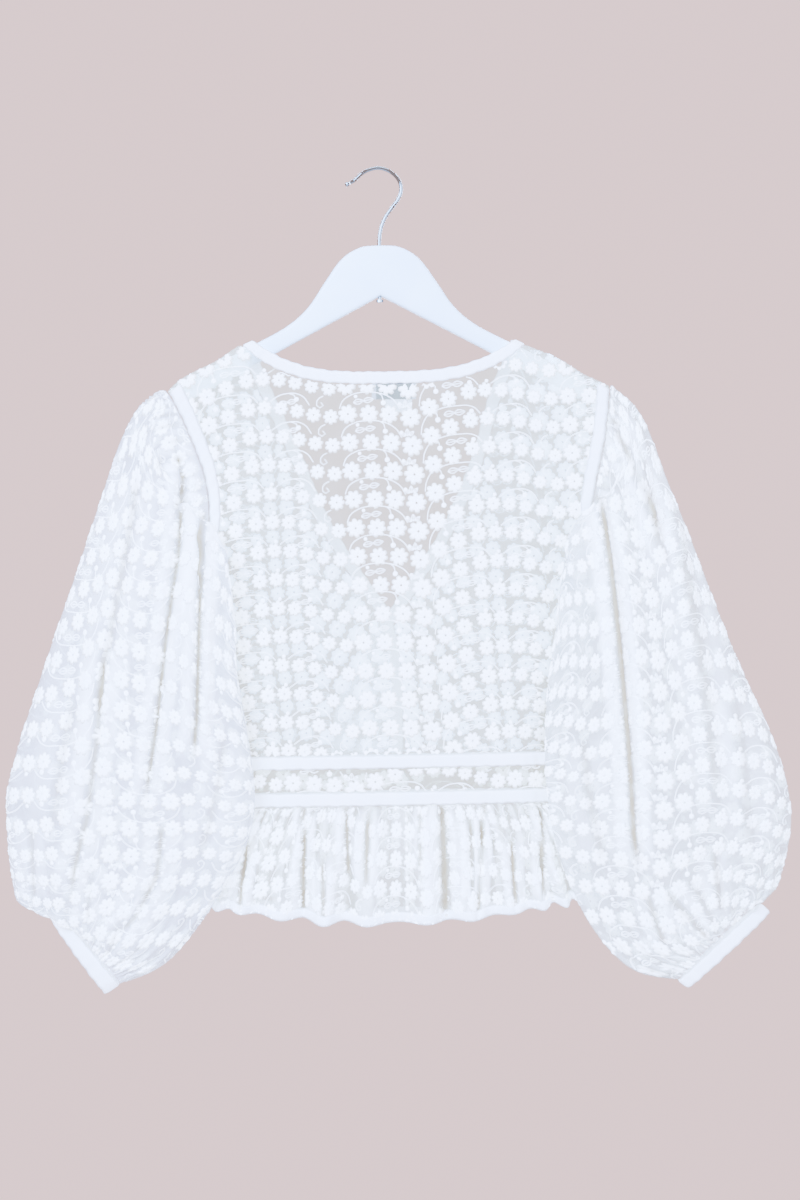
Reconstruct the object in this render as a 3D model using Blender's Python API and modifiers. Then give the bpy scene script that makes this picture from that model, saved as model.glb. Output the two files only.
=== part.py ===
"""A lace blouse hanging on a wooden hanger.

The blouse has a bound neck that is shallow behind and a V in front, gathered balloon sleeves
in narrow cuffs, a waistband of two plain tapes with lace between, and a gathered peplum.
The scene is in metres with +Z up. Lengths in this file are millimetres, turned into metres
where a mesh is made. The origin is inside the top of the hook, where the hanger hangs.
The garment's back faces -Y and its front +Y, so its wearer's left is towards -X.
"""

import math

import bmesh
import bpy
import numpy as np
from mathutils import Vector

MM = 0.001

# Cloth walls and the gaps between sewn pieces
LACE_WALL = 1.0
TAPE_WALL = 1.4
BINDING_WALL = 1.8
SEAM_GAP = 0.3

# The hanger and its hook
HANGER_THICK = 12.0
HANGER_EDGE_ROUND = 3.5
HANGER_END = 203.0
HANGER_NOTCH_Z = -126.0
ARM_LOWER_SLOPE = 0.53
WIRE_RADIUS = 1.8
WIRE_BORE_RADIUS = 2.2
BORE_X = -0.85
TIP_RADIUS = 2.4
NUT_RADIUS = 3.6
NUT_HEIGHT = 2.4
NUT_TOP_Z = -130.0
BORE_CUTTER_LENGTH = 80.0

# Heights down the blouse, below the point that it hangs from
SHOULDER_TIP_Z = -219.0
UNDERARM_Z = -432.0
WAIST_TOP_Z = -584.5
UPPER_TAPE = 13.0
LACE_BAND = 23.5
LOWER_TAPE = 13.5
HEM_Z = -733.0
HEM_SAG = 18.0

# Half widths of the blouse laid flat
NECK_HALF = 130.0
WAIST_HALF = 160.0
HEM_HALF = 206.0

# The hanger hangs askew by this many radians, and the waist by a little more
HANGER_TILT = 0.0125
WAIST_TILT = 0.019

# The blouse has slipped a little to one side on its hanger. This is its middle line.
MIDDLE_LINE = {
    "z": (-760, -587, -432, -345, -310, -270, -228, -219, -200, -150),
    "x": (15, 18, 19, 22, 22.5, 19.5, 12, 9.5, 4.5, 3.5),
}

# Neck edges, bindings and tapes
NECK_BACK_Z = -202.5
NECK_BACK_POWER = 3.2
BINDING_WIDTH = 12.0
BINDING_OUT = (BINDING_WALL - LACE_WALL) / 2
PANEL_EDGE = 0.75
BINDING_EDGE = 1.0
SHOULDER_ROLL = 9.5

# Columns and rows of the body's panels. Rows are closer where the cloth turns over the hanger,
# and these last ones are given by their drop below the shoulder seam.
NECK_COLUMNS = 18
SHOULDER_SHARES = (0.0, 0.3, 0.6, 0.86, 1.0)
SHOULDER_COLUMNS = len(SHOULDER_SHARES) - 1
FRONT_COLUMNS = 11
BODICE_LOW_ROWS = 9
SHOULDER_ROW_DROPS = (26, 14, 8, 4, 1.5, 0)
ARMHOLE_TAPE_ROWS = (5, 14)

# Front crossing: the wearer's right front lies over the left one
CROSS_STEP = 3.4
CROSS_BLEND = 26.0

# The label and its size tab, and how far behind the back panel they hang
LABEL_BOX = {"x": (-7.0, 37.0), "z": (-230.0, -211.0), "behind": 1.15}
SIZE_TAB_BOX = {"x": (6.0, 33.0), "z": (-243.0, -228.0), "behind": 2.05}
LABEL_WALL = 0.6

# Gathers and folds: how many go round each piece, and how far they stand out
PEPLUM_WAVES = 30
PEPLUM_TOP_WAVE = 1.3
PEPLUM_HEM_WAVE = 5.6
PEPLUM_HEM_DIP = 0.35
SLEEVE_HEAD_GATHERS = 18
SLEEVE_HEAD_WAVE = 2.2
SLEEVE_CUFF_GATHERS = 18
SLEEVE_CUFF_WAVE = 1.7
SLEEVE_FOLD = 4.2

# Upper edge of the hanger, from its middle outwards
HANGER_TOP = {
    "x": (0, 14, 27, 36, 44, 52, 60, 68.5, 78, 88, 100, 116, 131, 203),
    "z": (-76, -76.5, -81, -87, -95.5, -107, -119, -132, -143, -151.5, -159.5, -168, -175.5, -211.5),
}

# The shoulder seams, which ride over the hanger and stand off it on one side
SHOULDER_SEAM = {
    "x": (-211, -205, -199, -165, -126, 133, 147, 164, 181, 195, 205, 219, 230),
    "z": (-219, -212.4, -207.4, -190.2, -169.6, -171.6, -177, -184, -191.7, -200.4, -207, -213.4, -219),
}

# Centre line of the hook, from inside the wood to its tip
HOOK_LINE = {
    "x": (
        0.75, 0.1, 1.6, 3.9, 6.5, 12, 17.3, 21.2, 22,
        20, 15.4, 8.4, -1, -10.7, -17, -21.6, -25, -29.4,
    ),
    "z": (
        -129, -76, -60, -52.5, -47, -39, -32, -24.5, -18,
        -11, -5, -0.3, 1.9, -0.2, -3.6, -7.6, -10.7, -13.1,
    ),
}

# Side edge of the front and back panels: side seam from the waist, then the armhole
SIDE_EDGE = {
    "z": (-587, -540, -490, -455, -432, -410, -380, -345, -310, -270, -245, -228, -219),
    "half": (160, 172, 190, 205, 212, 204, 194, 190, 194, 205, 212, 217, 220.5),
}

# How far the armhole's edges stand from the middle plane
ARMHOLE_DEPTH = {
    "z": (-432, -420, -390, -340, -290, -250, -219),
    "depth": (0.7, 5, 11, 14, 13, 10.5, 10),
}

# How far the middle of each panel stands from the middle plane
PANEL_DEPTH = {
    "z": (-760, -690, -640, -587, -500, -400, -300, -240, -200, -150),
    "depth": (30, 25, 20, 19, 21, 19, 14, 11, 10, 10),
}

# Inner edges of the two fronts, from the waist up to the neck
LEFT_FRONT_EDGE = {
    "z": (-587, -530, -475, -435, -410, -350, -280, -215, -175),
    "x": (24, 24, 19, 6, -11, -49, -79, -109, -126),
}
RIGHT_FRONT_EDGE = {
    "z": (-587, -530, -475, -435, -400, -360, -290, -215, -175),
    "x": (-49, -42, -14, 14, 37, 62, 92, 114, 132),
}

# Sleeve sections from the shoulder to the cuff seam. Each is a flattened ring between an outer
# and an inner edge. bow pushes its back towards the body; near and far are its half depths.
SLEEVE_COLUMNS = (
    "outer_x", "outer_z", "inner_x", "inner_z", "outer_y", "inner_y", "bow", "near", "far",
)
LEFT_SLEEVE = (
    (-225, -226, -210, -437, 0, -10, 24, 19, 14),
    (-240, -240, -196, -440, -2, -24, 38, 22, 14),
    (-257, -272, -168, -444, -4, -31, 48, 23, 15),
    (-277, -330, -148, -464, -6, -34, 38, 24, 17),
    (-298, -393, -139, -504, -8, -34, 16, 28, 19),
    (-320, -457, -131, -548, -10, -33, 4, 31, 21),
    (-342, -523, -124, -592, -11, -31, 0, 33, 23),
    (-361, -582, -121, -630, -12, -30, 0, 34, 24),
    (-371, -632, -127, -666, -12, -30, 0, 33, 24),
    (-369, -676, -144, -702, -12, -28, 0, 30, 22),
    (-364, -708, -172, -744, -12, -26, 0, 26, 20),
    (-355, -732, -210, -787, -12, -22, 0, 21, 18),
    (-314, -737, -257, -811, -12, -17, 0, 13, 12),
)
RIGHT_SLEEVE = (
    (240, -224, 248, -437, 0, -10, 22, 19, 14),
    (254, -238, 234, -440, -2, -24, 36, 22, 14),
    (269, -266, 205, -446, -4, -31, 46, 23, 15),
    (289, -318, 184, -463, -6, -34, 38, 24, 17),
    (312, -374, 173, -498, -8, -34, 20, 28, 19),
    (335, -436, 168, -544, -10, -33, 8, 31, 21),
    (360, -498, 167, -590, -11, -31, 0, 33, 23),
    (386, -554, 170, -626, -12, -30, 0, 34, 24),
    (404, -606, 176, -664, -12, -30, 0, 33, 24),
    (410, -650, 190, -708, -12, -28, 0, 30, 22),
    (403, -690, 214, -755, -12, -26, 0, 26, 20),
    (394, -716, 250, -793, -12, -22, 0, 20, 17),
    (376, -729, 297, -807, -12, -17, 0, 13, 12),
)
# Open end of each cuff, at its outer and inner corners
CUFF_END = {
    "left": {"outer": (-327, -747), "inner": (-272, -821)},
    "right": {"outer": (389, -741), "inner": (308, -815)},
}
CUFF_HALF_DEPTH = 12.5
CUFF_UNDER_PUFF = 3.3

LACE = {"colour": (0.93, 0.94, 0.95), "roughness": 0.85, "metallic": 0.0}
COTTON = {"colour": (0.95, 0.96, 0.98), "roughness": 0.8, "metallic": 0.0}
WOOD = {"colour": (0.90, 0.93, 0.96), "roughness": 0.45, "metallic": 0.0}
CHROME = {"colour": (0.75, 0.76, 0.78), "roughness": 0.18, "metallic": 1.0}
LABEL = {"colour": (0.32, 0.36, 0.45), "roughness": 0.8, "metallic": 0.0}


def table(columns, across, value):
    """A smooth curve through a table: given names its first column, value its second."""

    def slopes(x, y):
        step = np.diff(y) / np.diff(x)
        inner = np.where(step[:-1] * step[1:] > 0, (step[:-1] + step[1:]) / 2, 0.0)
        limit = 3 * np.minimum(np.abs(step[:-1]), np.abs(step[1:]))
        inner = np.clip(inner, -limit, limit)
        return np.concatenate(([step[0]], inner, [step[-1]]))

    x = np.array(columns[across], float)
    y = np.array(columns[value], float)
    m = slopes(x, y)

    def read(at):
        at = min(max(at, x[0]), x[-1])
        i = min(int(np.searchsorted(x, at, side="right")) - 1, len(x) - 2)
        width = x[i + 1] - x[i]
        t = (at - x[i]) / width
        return float(
            y[i] * (1 + 2 * t) * (1 - t) ** 2
            + m[i] * width * t * (1 - t) ** 2
            + y[i + 1] * t * t * (3 - 2 * t)
            + m[i + 1] * width * t * t * (t - 1)
        )

    return read


hanger_top_z = table(HANGER_TOP, "x", "z")
side_half = table(SIDE_EDGE, "z", "half")
armhole_depth = table(ARMHOLE_DEPTH, "z", "depth")
panel_depth = table(PANEL_DEPTH, "z", "depth")
centre_x = table(MIDDLE_LINE, "z", "x")
seam_z = table(SHOULDER_SEAM, "x", "z")
left_front_x = table(LEFT_FRONT_EDGE, "z", "x")
right_front_x = table(RIGHT_FRONT_EDGE, "z", "x")


def smooth(value):
    """0 below 0, 1 above 1, and an even rise between."""
    t = min(max(value, 0.0), 1.0)
    return t * t * (3 - 2 * t)


def mix(a, b, share):
    return a + (b - a) * share


def finish_look(name, look):
    material = bpy.data.materials.new(name)
    material.use_nodes = True
    shader = material.node_tree.nodes["Principled BSDF"]
    shader.inputs["Base Color"].default_value = (*look["colour"], 1.0)
    shader.inputs["Roughness"].default_value = look["roughness"]
    shader.inputs["Metallic"].default_value = look["metallic"]
    return material


def add_object(name, data, look, collection):
    made = bpy.data.objects.new(name, data)
    data.materials.append(finish_look(name, look))
    collection.objects.link(made)
    return made


def even(count):
    """Shares from 0 to 1 in even steps."""
    return [i / count for i in range(count + 1)]


def cloth(name, surface, columns, rows, wall, look, collection, tube=False):
    """A cloth wall: surface(u, v) read at lists of columns and rows, closed round u in a tube."""
    work = bmesh.new()
    across, along = len(columns) - 1, len(rows) - 1
    bmesh.ops.create_grid(work, x_segments=across, y_segments=along, size=0.5)
    for vertex in work.verts:
        u = columns[round((vertex.co.x + 0.5) * across)]
        v = rows[round((vertex.co.y + 0.5) * along)]
        if tube and u > 1 - 1e-6:
            u = 0.0
        vertex.co = Vector(surface(u, v)) * MM
    if tube:
        bmesh.ops.remove_doubles(work, verts=work.verts, dist=1e-6)
    mesh = bpy.data.meshes.new(name)
    work.to_mesh(mesh)
    work.free()
    made = add_object(name, mesh, look, collection)
    mesh.shade_smooth()
    shell = made.modifiers.new("wall", "SOLIDIFY")
    shell.thickness = wall * MM
    shell.offset = 0.0
    return made


def rippled(surface, ripple, span=1e-4):
    """The surface with each point moved along its normal by ripple(u, v)."""

    def moved(u, v):
        along_u = np.subtract(surface(u + span, v), surface(u - span, v))
        low, high = max(v - span, 0.0), min(v + span, 1.0)
        along_v = np.subtract(surface(u, high), surface(u, low))
        normal = np.cross(along_u, along_v)
        return np.array(surface(u, v)) + normal / np.linalg.norm(normal) * ripple(u, v)

    return moved


# The blouse's own lines

def tilt_z(x, z):
    """How much a level line of the blouse rises at x, since it hangs a little askew."""
    return x * mix(HANGER_TILT, WAIST_TILT, smooth((-240 - z) / 250))


def body_depth(x, z, edge):
    """Distance of the front and back panels from the middle plane."""
    half = side_half(z) if z > WAIST_TOP_Z else WAIST_HALF
    reach = min(abs(x - centre_x(z)) / half, 1.0)
    at_side = armhole_depth(z) if z > UNDERARM_Z else edge
    middle = panel_depth(z)
    depth = at_side + max(middle - at_side, 0.0) * (1 - reach**3) ** 0.8
    over = min(max((seam_z(x) - z) / SHOULDER_ROLL, 0.0), 1.0)
    return max(edge, depth * math.sqrt(over * (2 - over)))


def side_point(v, side, inset=0.0):
    """The panel's side edge, v 0 at the waist and 1 at the shoulder tip, side -1 or 1."""
    z = mix(WAIST_TOP_Z, SHOULDER_TIP_Z, v)
    x = centre_x(z) + side * (side_half(z) - inset)
    return x, z


def seam_direction(side):
    """The shoulder seam's direction away from the neck."""
    way = np.array((side * 1.0, -0.5))
    return way / np.linalg.norm(way)


def neck_back_point(t, drop):
    """The back neckline, t -1 to 1 across, and drop below it towards the panel."""
    side = math.copysign(1.0, t)
    middle = centre_x(NECK_BACK_Z)
    x = middle + t * NECK_HALF
    rise = seam_z(middle + side * NECK_HALF) - NECK_BACK_Z
    z = NECK_BACK_Z + rise * abs(t) ** NECK_BACK_POWER
    slope = rise * NECK_BACK_POWER * abs(t) ** (NECK_BACK_POWER - 1) / NECK_HALF
    square = np.array((side * slope, -1.0))
    down = mix(square / np.linalg.norm(square), seam_direction(side), smooth((abs(t) - 0.88) / 0.12))
    return x + drop * down[0], z + drop * down[1]


def neck_share(s):
    """Places the neck's columns closer together towards its ends."""
    return math.sin(math.pi / 2 * s)


def shoulder_point(t, side, neck_x):
    """The shoulder seam from the neck, t 0, to the shoulder tip, t 1."""
    x = mix(neck_x, side_point(1.0, side)[0], t)
    return x, seam_z(x)


def coons(u, v, left, right, bottom, top):
    """A point inside four boundary curves, blended from all of them."""
    corners = (
        (1 - u) * (1 - v) * np.array(bottom(0.0))
        + u * (1 - v) * np.array(bottom(1.0))
        + (1 - u) * v * np.array(top(0.0))
        + u * v * np.array(top(1.0))
    )
    return (
        (1 - v) * np.array(bottom(u))
        + v * np.array(top(u))
        + (1 - u) * np.array(left(v))
        + u * np.array(right(v))
        - corners
    )


def waist_point(x):
    return x, WAIST_TOP_Z


def bodice_rows():
    """Rows of the body's panels from the waist, 0, to the shoulder seam, 1."""
    height = SHOULDER_TIP_Z - WAIST_TOP_Z
    high = [1 - drop / height for drop in SHOULDER_ROW_DROPS]
    return [high[0] * share for share in even(BODICE_LOW_ROWS)[:-1]] + high


# The back panel and what lies on it

def back_outline(u, v):
    neck_part = NECK_COLUMNS / (NECK_COLUMNS + 2 * SHOULDER_COLUMNS)

    def top(at):
        across = 2 * at - 1
        if abs(across) < neck_part + 1e-6:
            t = neck_share(min(max(across / neck_part, -1.0), 1.0))
            return neck_back_point(t, BINDING_WIDTH + SEAM_GAP)
        side = math.copysign(1, across)
        start = neck_back_point(side, BINDING_WIDTH + SEAM_GAP)[0]
        step = round((abs(across) - neck_part) / (1 - neck_part) * SHOULDER_COLUMNS)
        return shoulder_point(SHOULDER_SHARES[step], side, start)

    def bottom(at):
        return waist_point(centre_x(WAIST_TOP_Z) + WAIST_HALF * (2 * at - 1))

    return coons(u, v, lambda t: side_point(t, -1), lambda t: side_point(t, 1), bottom, top)


def back_place(x, z, out=0.0, edge=PANEL_EDGE):
    return x, -body_depth(x, z, edge) - out, z + tilt_z(x, z)


def back_panel(u, v):
    return back_place(*back_outline(u, v))


def back_binding(u, v):
    x, z = neck_back_point(neck_share(2 * u - 1), BINDING_WIDTH * (1 - v))
    return back_place(x, z, out=BINDING_OUT, edge=BINDING_EDGE)


def armhole_strip(panel, u0, u1, facing):
    """The plain tape on an armhole's edge, made from the points of one column of the panel."""
    out = LACE_WALL / 2 + SEAM_GAP + TAPE_WALL / 2

    def on_panel(u, v):
        return mix(np.array(panel(u0, v)), np.array(panel(u1, v)), u)

    def surface(u, v):
        along = on_panel(u, min(v + 0.03, 1.0)) - on_panel(u, v - 0.03)
        across = on_panel(1.0, v) - on_panel(0.0, v)
        normal = np.cross(along, across)
        slant = max(abs(normal[1]) / np.linalg.norm(normal), 0.6)
        return on_panel(u, v) + np.array((0.0, facing * out / slant, 0.0))

    return surface


def label_surface(box):
    """A label hung inside the back neck."""

    def surface(u, v):
        return back_place(mix(*box["x"], u), mix(*box["z"], v), out=-box["behind"])

    return surface


# The two fronts

FRONTS = {
    "left": {"side": -1, "edge": left_front_x},
    "right": {"side": 1, "edge": right_front_x},
}


def front_edge_point(front, v, inset):
    """The inner edge of a front, v 0 at the waist and 1 at the neck, and inset from it."""
    side, edge_x = front["side"], front["edge"]
    neck_end_z = seam_z(centre_x(NECK_BACK_Z) + side * NECK_HALF)
    z = mix(WAIST_TOP_Z, neck_end_z, v)
    step = 1.0
    along = np.array((edge_x(z + step) - edge_x(z - step), 2 * step))
    along /= np.linalg.norm(along)
    square = np.array((along[1], -along[0])) * side
    level = np.array((1.0 * side, 0.0))
    square = mix(square, seam_direction(side), smooth((v - 0.93) / 0.07))
    square = mix(level, square, smooth(v / 0.08))
    return edge_x(z) + inset * square[0], z + inset * square[1]


def front_outline(front, u, v):
    side = front["side"]
    inset = BINDING_WIDTH + SEAM_GAP

    def inner(t):
        return front_edge_point(front, t, inset)

    def top(at):
        return shoulder_point(at, side, inner(1.0)[0])

    def top_joined(at):
        x, z = top(at)
        return x, mix(inner(1.0)[1], z, smooth(at / 0.1))

    def bottom(at):
        return waist_point(mix(inner(0.0)[0], side_point(0.0, side)[0], at))

    return coons(u, v, inner, lambda t: side_point(t, side), bottom, top_joined)


def front_place(front, x, z, out=0.0, edge=PANEL_EDGE):
    """The wearer's right front steps out over the left one where they cross."""
    depth = body_depth(x, z, edge) + out
    if front["side"] > 0:
        overlapped = smooth((left_front_x(z) + CROSS_BLEND - x) / CROSS_BLEND)
        depth += CROSS_STEP * overlapped * smooth((-380 - z) / 50)
    return x, depth, z + tilt_z(x, z)


def front_panel(front):
    return lambda u, v: front_place(front, *front_outline(front, u, v))


def front_binding(front):
    def surface(u, v):
        x, z = front_edge_point(front, v, BINDING_WIDTH * u)
        return front_place(front, x, z, out=BINDING_OUT, edge=BINDING_EDGE)

    return surface


# Rings round the body: the waistband and the peplum

def body_ring(u, z, half, depth):
    """A point round a flattened ring, u 0 to 1 from one side seam, in even steps of width."""
    turn = 2 * math.pi * u
    c, s = math.cos(turn), math.sin(turn)
    x = centre_x(z) - half * math.copysign(abs(c) ** 0.8, c)
    y = -depth * math.copysign(abs(s) ** 1.1, s)
    return x, y, z + tilt_z(x, z)


def band(z_top, width):
    def surface(u, v):
        z = z_top - SEAM_GAP - (width - SEAM_GAP) * (1 - v)
        return body_ring(u, z, WAIST_HALF, panel_depth(z))

    return surface


def peplum_top_z():
    return WAIST_TOP_Z - UPPER_TAPE - LACE_BAND - LOWER_TAPE - 2 * SEAM_GAP


def peplum_base(u, v):
    down = 1 - v
    hem_z = HEM_Z - HEM_SAG * math.sin(2 * math.pi * u) ** 4
    z = mix(peplum_top_z(), hem_z, down)
    half = mix(WAIST_HALF, HEM_HALF, down**0.85)
    return body_ring(u, z, half, panel_depth(z))


def peplum_ripple(u, v):
    """Gathers: even in number, uneven in place and depth, and deepest at the hem."""
    down = 1 - v
    turn = 2 * math.pi * u
    wander = 0.9 * math.sin(3 * turn + 0.6) + 0.7 * math.sin(7 * turn + 2.1)
    height = mix(PEPLUM_TOP_WAVE, PEPLUM_HEM_WAVE, down**0.8)
    uneven = 1 + 0.35 * math.sin(5 * turn + 1.3) + 0.2 * math.sin(11 * turn)
    return height * uneven * math.cos(PEPLUM_WAVES * turn + wander)


def peplum(u, v):
    """The waves stand out level, so the upper edge keeps to its seam, and dip at the hem."""
    x, y, _ = rippled(peplum_base, peplum_ripple)(u, v)
    return x, y, peplum_base(u, v)[2] - PEPLUM_HEM_DIP * peplum_ripple(u, v) * (1 - v)


# Sleeves and cuffs

def sleeve_section(rows, share):
    """The section at share 0 to 1 of the sleeve's length, read smoothly from its table."""
    place = share * (len(rows) - 1)
    columns = {name: [row[i] for row in rows] for i, name in enumerate(SLEEVE_COLUMNS)}
    columns["row"] = range(len(rows))
    return {name: table(columns, "row", name)(place) for name in SLEEVE_COLUMNS}


def section_point(section, turn, side):
    """A point round a sleeve section, turn 0 at the outer edge, a quarter at the back."""
    c, s = math.cos(turn), math.sin(turn)
    share = (1 - c) / 2
    outer = np.array((section["outer_x"], section["outer_y"], section["outer_z"]))
    inner = np.array((section["inner_x"], section["inner_y"], section["inner_z"]))
    point = mix(outer, inner, share)
    chord = inner - outer
    towards_body = np.array((abs(chord[2]) * side * -1.0, 0.0, abs(chord[0])))
    towards_body /= np.linalg.norm(towards_body)
    if s > 0:
        point += towards_body * section["bow"] * s * smooth((share - 0.15) / 0.55)
        point[1] -= section["near"] * s
    else:
        over_body = smooth((-17 - section["inner_y"]) / 8)
        point[1] -= section["far"] * s * (1 - 0.8 * over_body * smooth((share - 0.35) / 0.45))
    return point


def armhole_point(turn, side):
    """The sleeve's seam line round the armhole, just outside the panels' edges."""
    share = (1 - math.cos(turn)) / 2
    z = mix(SHOULDER_TIP_Z, UNDERARM_Z, share)
    over_tape = LACE_WALL / 2 + SEAM_GAP + TAPE_WALL + SEAM_GAP
    depth = armhole_depth(z) + over_tape * smooth(min(share, 1 - share) / 0.03)
    depth = depth if 0 < share < 1 else 0.0
    x = centre_x(z) + side * (side_half(z) + SEAM_GAP + 1.4 * LACE_WALL)
    facing = -1 if math.sin(turn) > 0 else 1
    return np.array((x, facing * depth, z + tilt_z(x, z)))


def sleeve_base(rows, side):
    """The sleeve as a smooth tube; its first part leads from the armhole to the sections."""
    lead = 1.0 / len(rows)

    def surface(u, v):
        down = 1 - v
        turn = 2 * math.pi * u
        section = sleeve_section(rows, max(down - lead, 0.0) / (1 - lead))
        hung = section_point(section, turn, side)
        return mix(armhole_point(turn, side), hung, min(down / lead, 1.0))

    return surface


def sleeve_ripple(u, v):
    """Gathers at the head and cuff, with long soft folds between them."""
    down = 1 - v
    turn = 2 * math.pi * u
    wander = 0.5 * math.sin(2 * turn + 0.7)
    head = SLEEVE_HEAD_WAVE * smooth(down / 0.05) * smooth((0.42 - down) / 0.36)
    cuff = SLEEVE_CUFF_WAVE * smooth((down - 0.72) / 0.2) * smooth((1.0 - down) / 0.05)
    fold = SLEEVE_FOLD * smooth(down / 0.2) * smooth((1 - down) / 0.3)
    folds = 0.5 * math.cos(5 * turn + 1.0) + 0.35 * math.cos(8 * turn + 2.4 + 1.5 * down)
    return (
        head * math.cos(SLEEVE_HEAD_GATHERS * turn + wander)
        + cuff * math.cos(SLEEVE_CUFF_GATHERS * turn + wander)
        + fold * folds
    )


def cuff_surface(rows, side, name):
    """The cuff, from the sleeve's last section to its open end."""
    last = dict(zip(SLEEVE_COLUMNS, rows[-1]))
    end = dict(last)
    end["outer_x"], end["outer_z"] = CUFF_END[name]["outer"]
    end["inner_x"], end["inner_z"] = CUFF_END[name]["inner"]
    end["near"] = end["far"] = CUFF_HALF_DEPTH

    def ring_point(section, turn):
        s = math.sin(turn)
        point = section_point({**section, "near": 0.0, "far": 0.0}, turn, side)
        point[1] -= s * (section["near"] if s > 0 else section["far"])
        return point

    def surface(u, v):
        turn = 2 * math.pi * u
        start = ring_point(last, turn)
        stop = ring_point(end, turn)
        under_puff = CUFF_UNDER_PUFF * ((1 + math.cos(turn)) / 2) ** 2
        clear = (SEAM_GAP + LACE_WALL / 2 + 0.2 + under_puff) / np.linalg.norm(stop - start)
        return mix(start, stop, mix(clear, 1.0, 1 - v))

    return surface


# The hanger

def on_hanger(x, z):
    """A place on the level hanger, moved to where the hanger hangs."""
    c, s = math.cos(HANGER_TILT), math.sin(HANGER_TILT)
    return Vector((x * c - z * s, 0.0, x * s + z * c)) * MM


def hanger_outline():
    """The hanger's outline from above, once round: upper edge, rounded ends, lower edge."""
    lower_end = (HANGER_END - 6, HANGER_NOTCH_Z - ARM_LOWER_SLOPE * (HANGER_END - 6))
    steps = [0, 7, 14, 21, 28, 36, 44, 52, 60, 70, 80, 92, 106, 122, 140, 172, 200]
    right = [(x, hanger_top_z(x)) for x in steps]
    right += [(HANGER_END - 1, hanger_top_z(HANGER_END) + 0.5)]
    right += [(HANGER_END + 1.5, hanger_top_z(HANGER_END) - 7)]
    right += [(HANGER_END + 0.5, lower_end[1] + 5), lower_end]
    left = [(-x, z) for x, z in reversed(right) if x > 0]
    return right + [(0.0, HANGER_NOTCH_Z)] + left


def mesh_from_curve(curve_object, look, collection):
    """The curve's solid as a welded mesh object of the same name, in place of the curve."""
    graph = bpy.context.evaluated_depsgraph_get()
    mesh = bpy.data.meshes.new_from_object(curve_object.evaluated_get(graph))
    name, place = curve_object.name, curve_object.matrix_world.copy()
    bpy.data.objects.remove(curve_object)
    work = bmesh.new()
    work.from_mesh(mesh)
    bmesh.ops.remove_doubles(work, verts=work.verts, dist=1e-6)
    work.to_mesh(mesh)
    work.free()
    mesh.materials.clear()
    made = add_object(name, mesh, look, collection)
    made.matrix_world = place
    return made


def add_hanger(collection, cutters):
    outline = hanger_outline()
    flat = bpy.data.curves.new("hanger_body", "CURVE")
    flat.dimensions = "2D"
    flat.fill_mode = "BOTH"
    flat.extrude = HANGER_THICK / 2 * MM
    spline = flat.splines.new("POLY")
    spline.points.add(len(outline) - 1)
    for point, (x, z) in zip(spline.points, outline):
        point.co = (x * MM, z * MM, 0.0, 1.0)
    spline.use_cyclic_u = True
    drawn = bpy.data.objects.new("hanger_body", flat)
    drawn.rotation_euler = (math.pi / 2, -HANGER_TILT, 0.0)
    collection.objects.link(drawn)
    bpy.context.view_layer.update()
    body = mesh_from_curve(drawn, WOOD, collection)
    rounding = body.modifiers.new("rounded edges", "BEVEL")
    rounding.width = HANGER_EDGE_ROUND * MM
    rounding.segments = 2
    rounding.limit_method = "ANGLE"
    rounding.angle_limit = math.radians(60)

    bore_middle = (HANGER_TOP["z"][0] + HANGER_NOTCH_Z) / 2
    bpy.ops.mesh.primitive_cylinder_add(
        vertices=12,
        radius=WIRE_BORE_RADIUS * MM,
        depth=BORE_CUTTER_LENGTH * MM,
        location=on_hanger(BORE_X, bore_middle),
        rotation=(0, -HANGER_TILT, 0),
    )
    cutter = bpy.context.object
    cutter.name = "bore_cutter"
    cutter.hide_render = True
    cutter.display_type = "WIRE"
    for holder in list(cutter.users_collection):
        holder.objects.unlink(cutter)
    cutters.objects.link(cutter)
    bore = body.modifiers.new("hook bore", "BOOLEAN")
    bore.operation = "DIFFERENCE"
    bore.object = cutter


def add_hook(collection):
    """A bent wire through the hanger, with a rounded tip and a nut under the wood."""
    count = len(HOOK_LINE["x"])
    line = {**HOOK_LINE, "step": range(count)}
    read_x, read_z = table(line, "step", "x"), table(line, "step", "z")
    steps = np.linspace(0, count - 1, 44)
    wire = bpy.data.curves.new("hook_wire", "CURVE")
    wire.dimensions = "3D"
    wire.bevel_depth = WIRE_RADIUS * MM
    wire.bevel_resolution = 2
    wire.use_fill_caps = True
    spline = wire.splines.new("POLY")
    spline.points.add(len(steps) - 1)
    for point, step in zip(spline.points, steps):
        point.co = (read_x(step) * MM, 0.0, read_z(step) * MM, 1.0)
    add_object("hook_wire", wire, CHROME, collection)

    last, before = (Vector((line["x"][i], 0.0, line["z"][i])) for i in (-1, -2))
    tip = last + (last - before).normalized() * (TIP_RADIUS + SEAM_GAP)
    bpy.ops.mesh.primitive_uv_sphere_add(
        segments=12,
        ring_count=8,
        radius=TIP_RADIUS * MM,
        location=tip * MM,
    )
    settle("hook_tip", CHROME, collection)

    bpy.ops.mesh.primitive_cylinder_add(
        vertices=12,
        radius=NUT_RADIUS * MM,
        depth=NUT_HEIGHT * MM,
        location=on_hanger(BORE_X, NUT_TOP_Z - NUT_HEIGHT / 2),
        rotation=(0, -HANGER_TILT, 0),
    )
    settle("hook_nut", CHROME, collection)


def settle(name, look, collection):
    """Names the primitive just added and moves it to the blouse's collection."""
    made = bpy.context.object
    made.name = name
    made.data.materials.append(finish_look(name, look))
    for holder in list(made.users_collection):
        holder.objects.unlink(made)
    collection.objects.link(made)
    made.data.shade_smooth()


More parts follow.
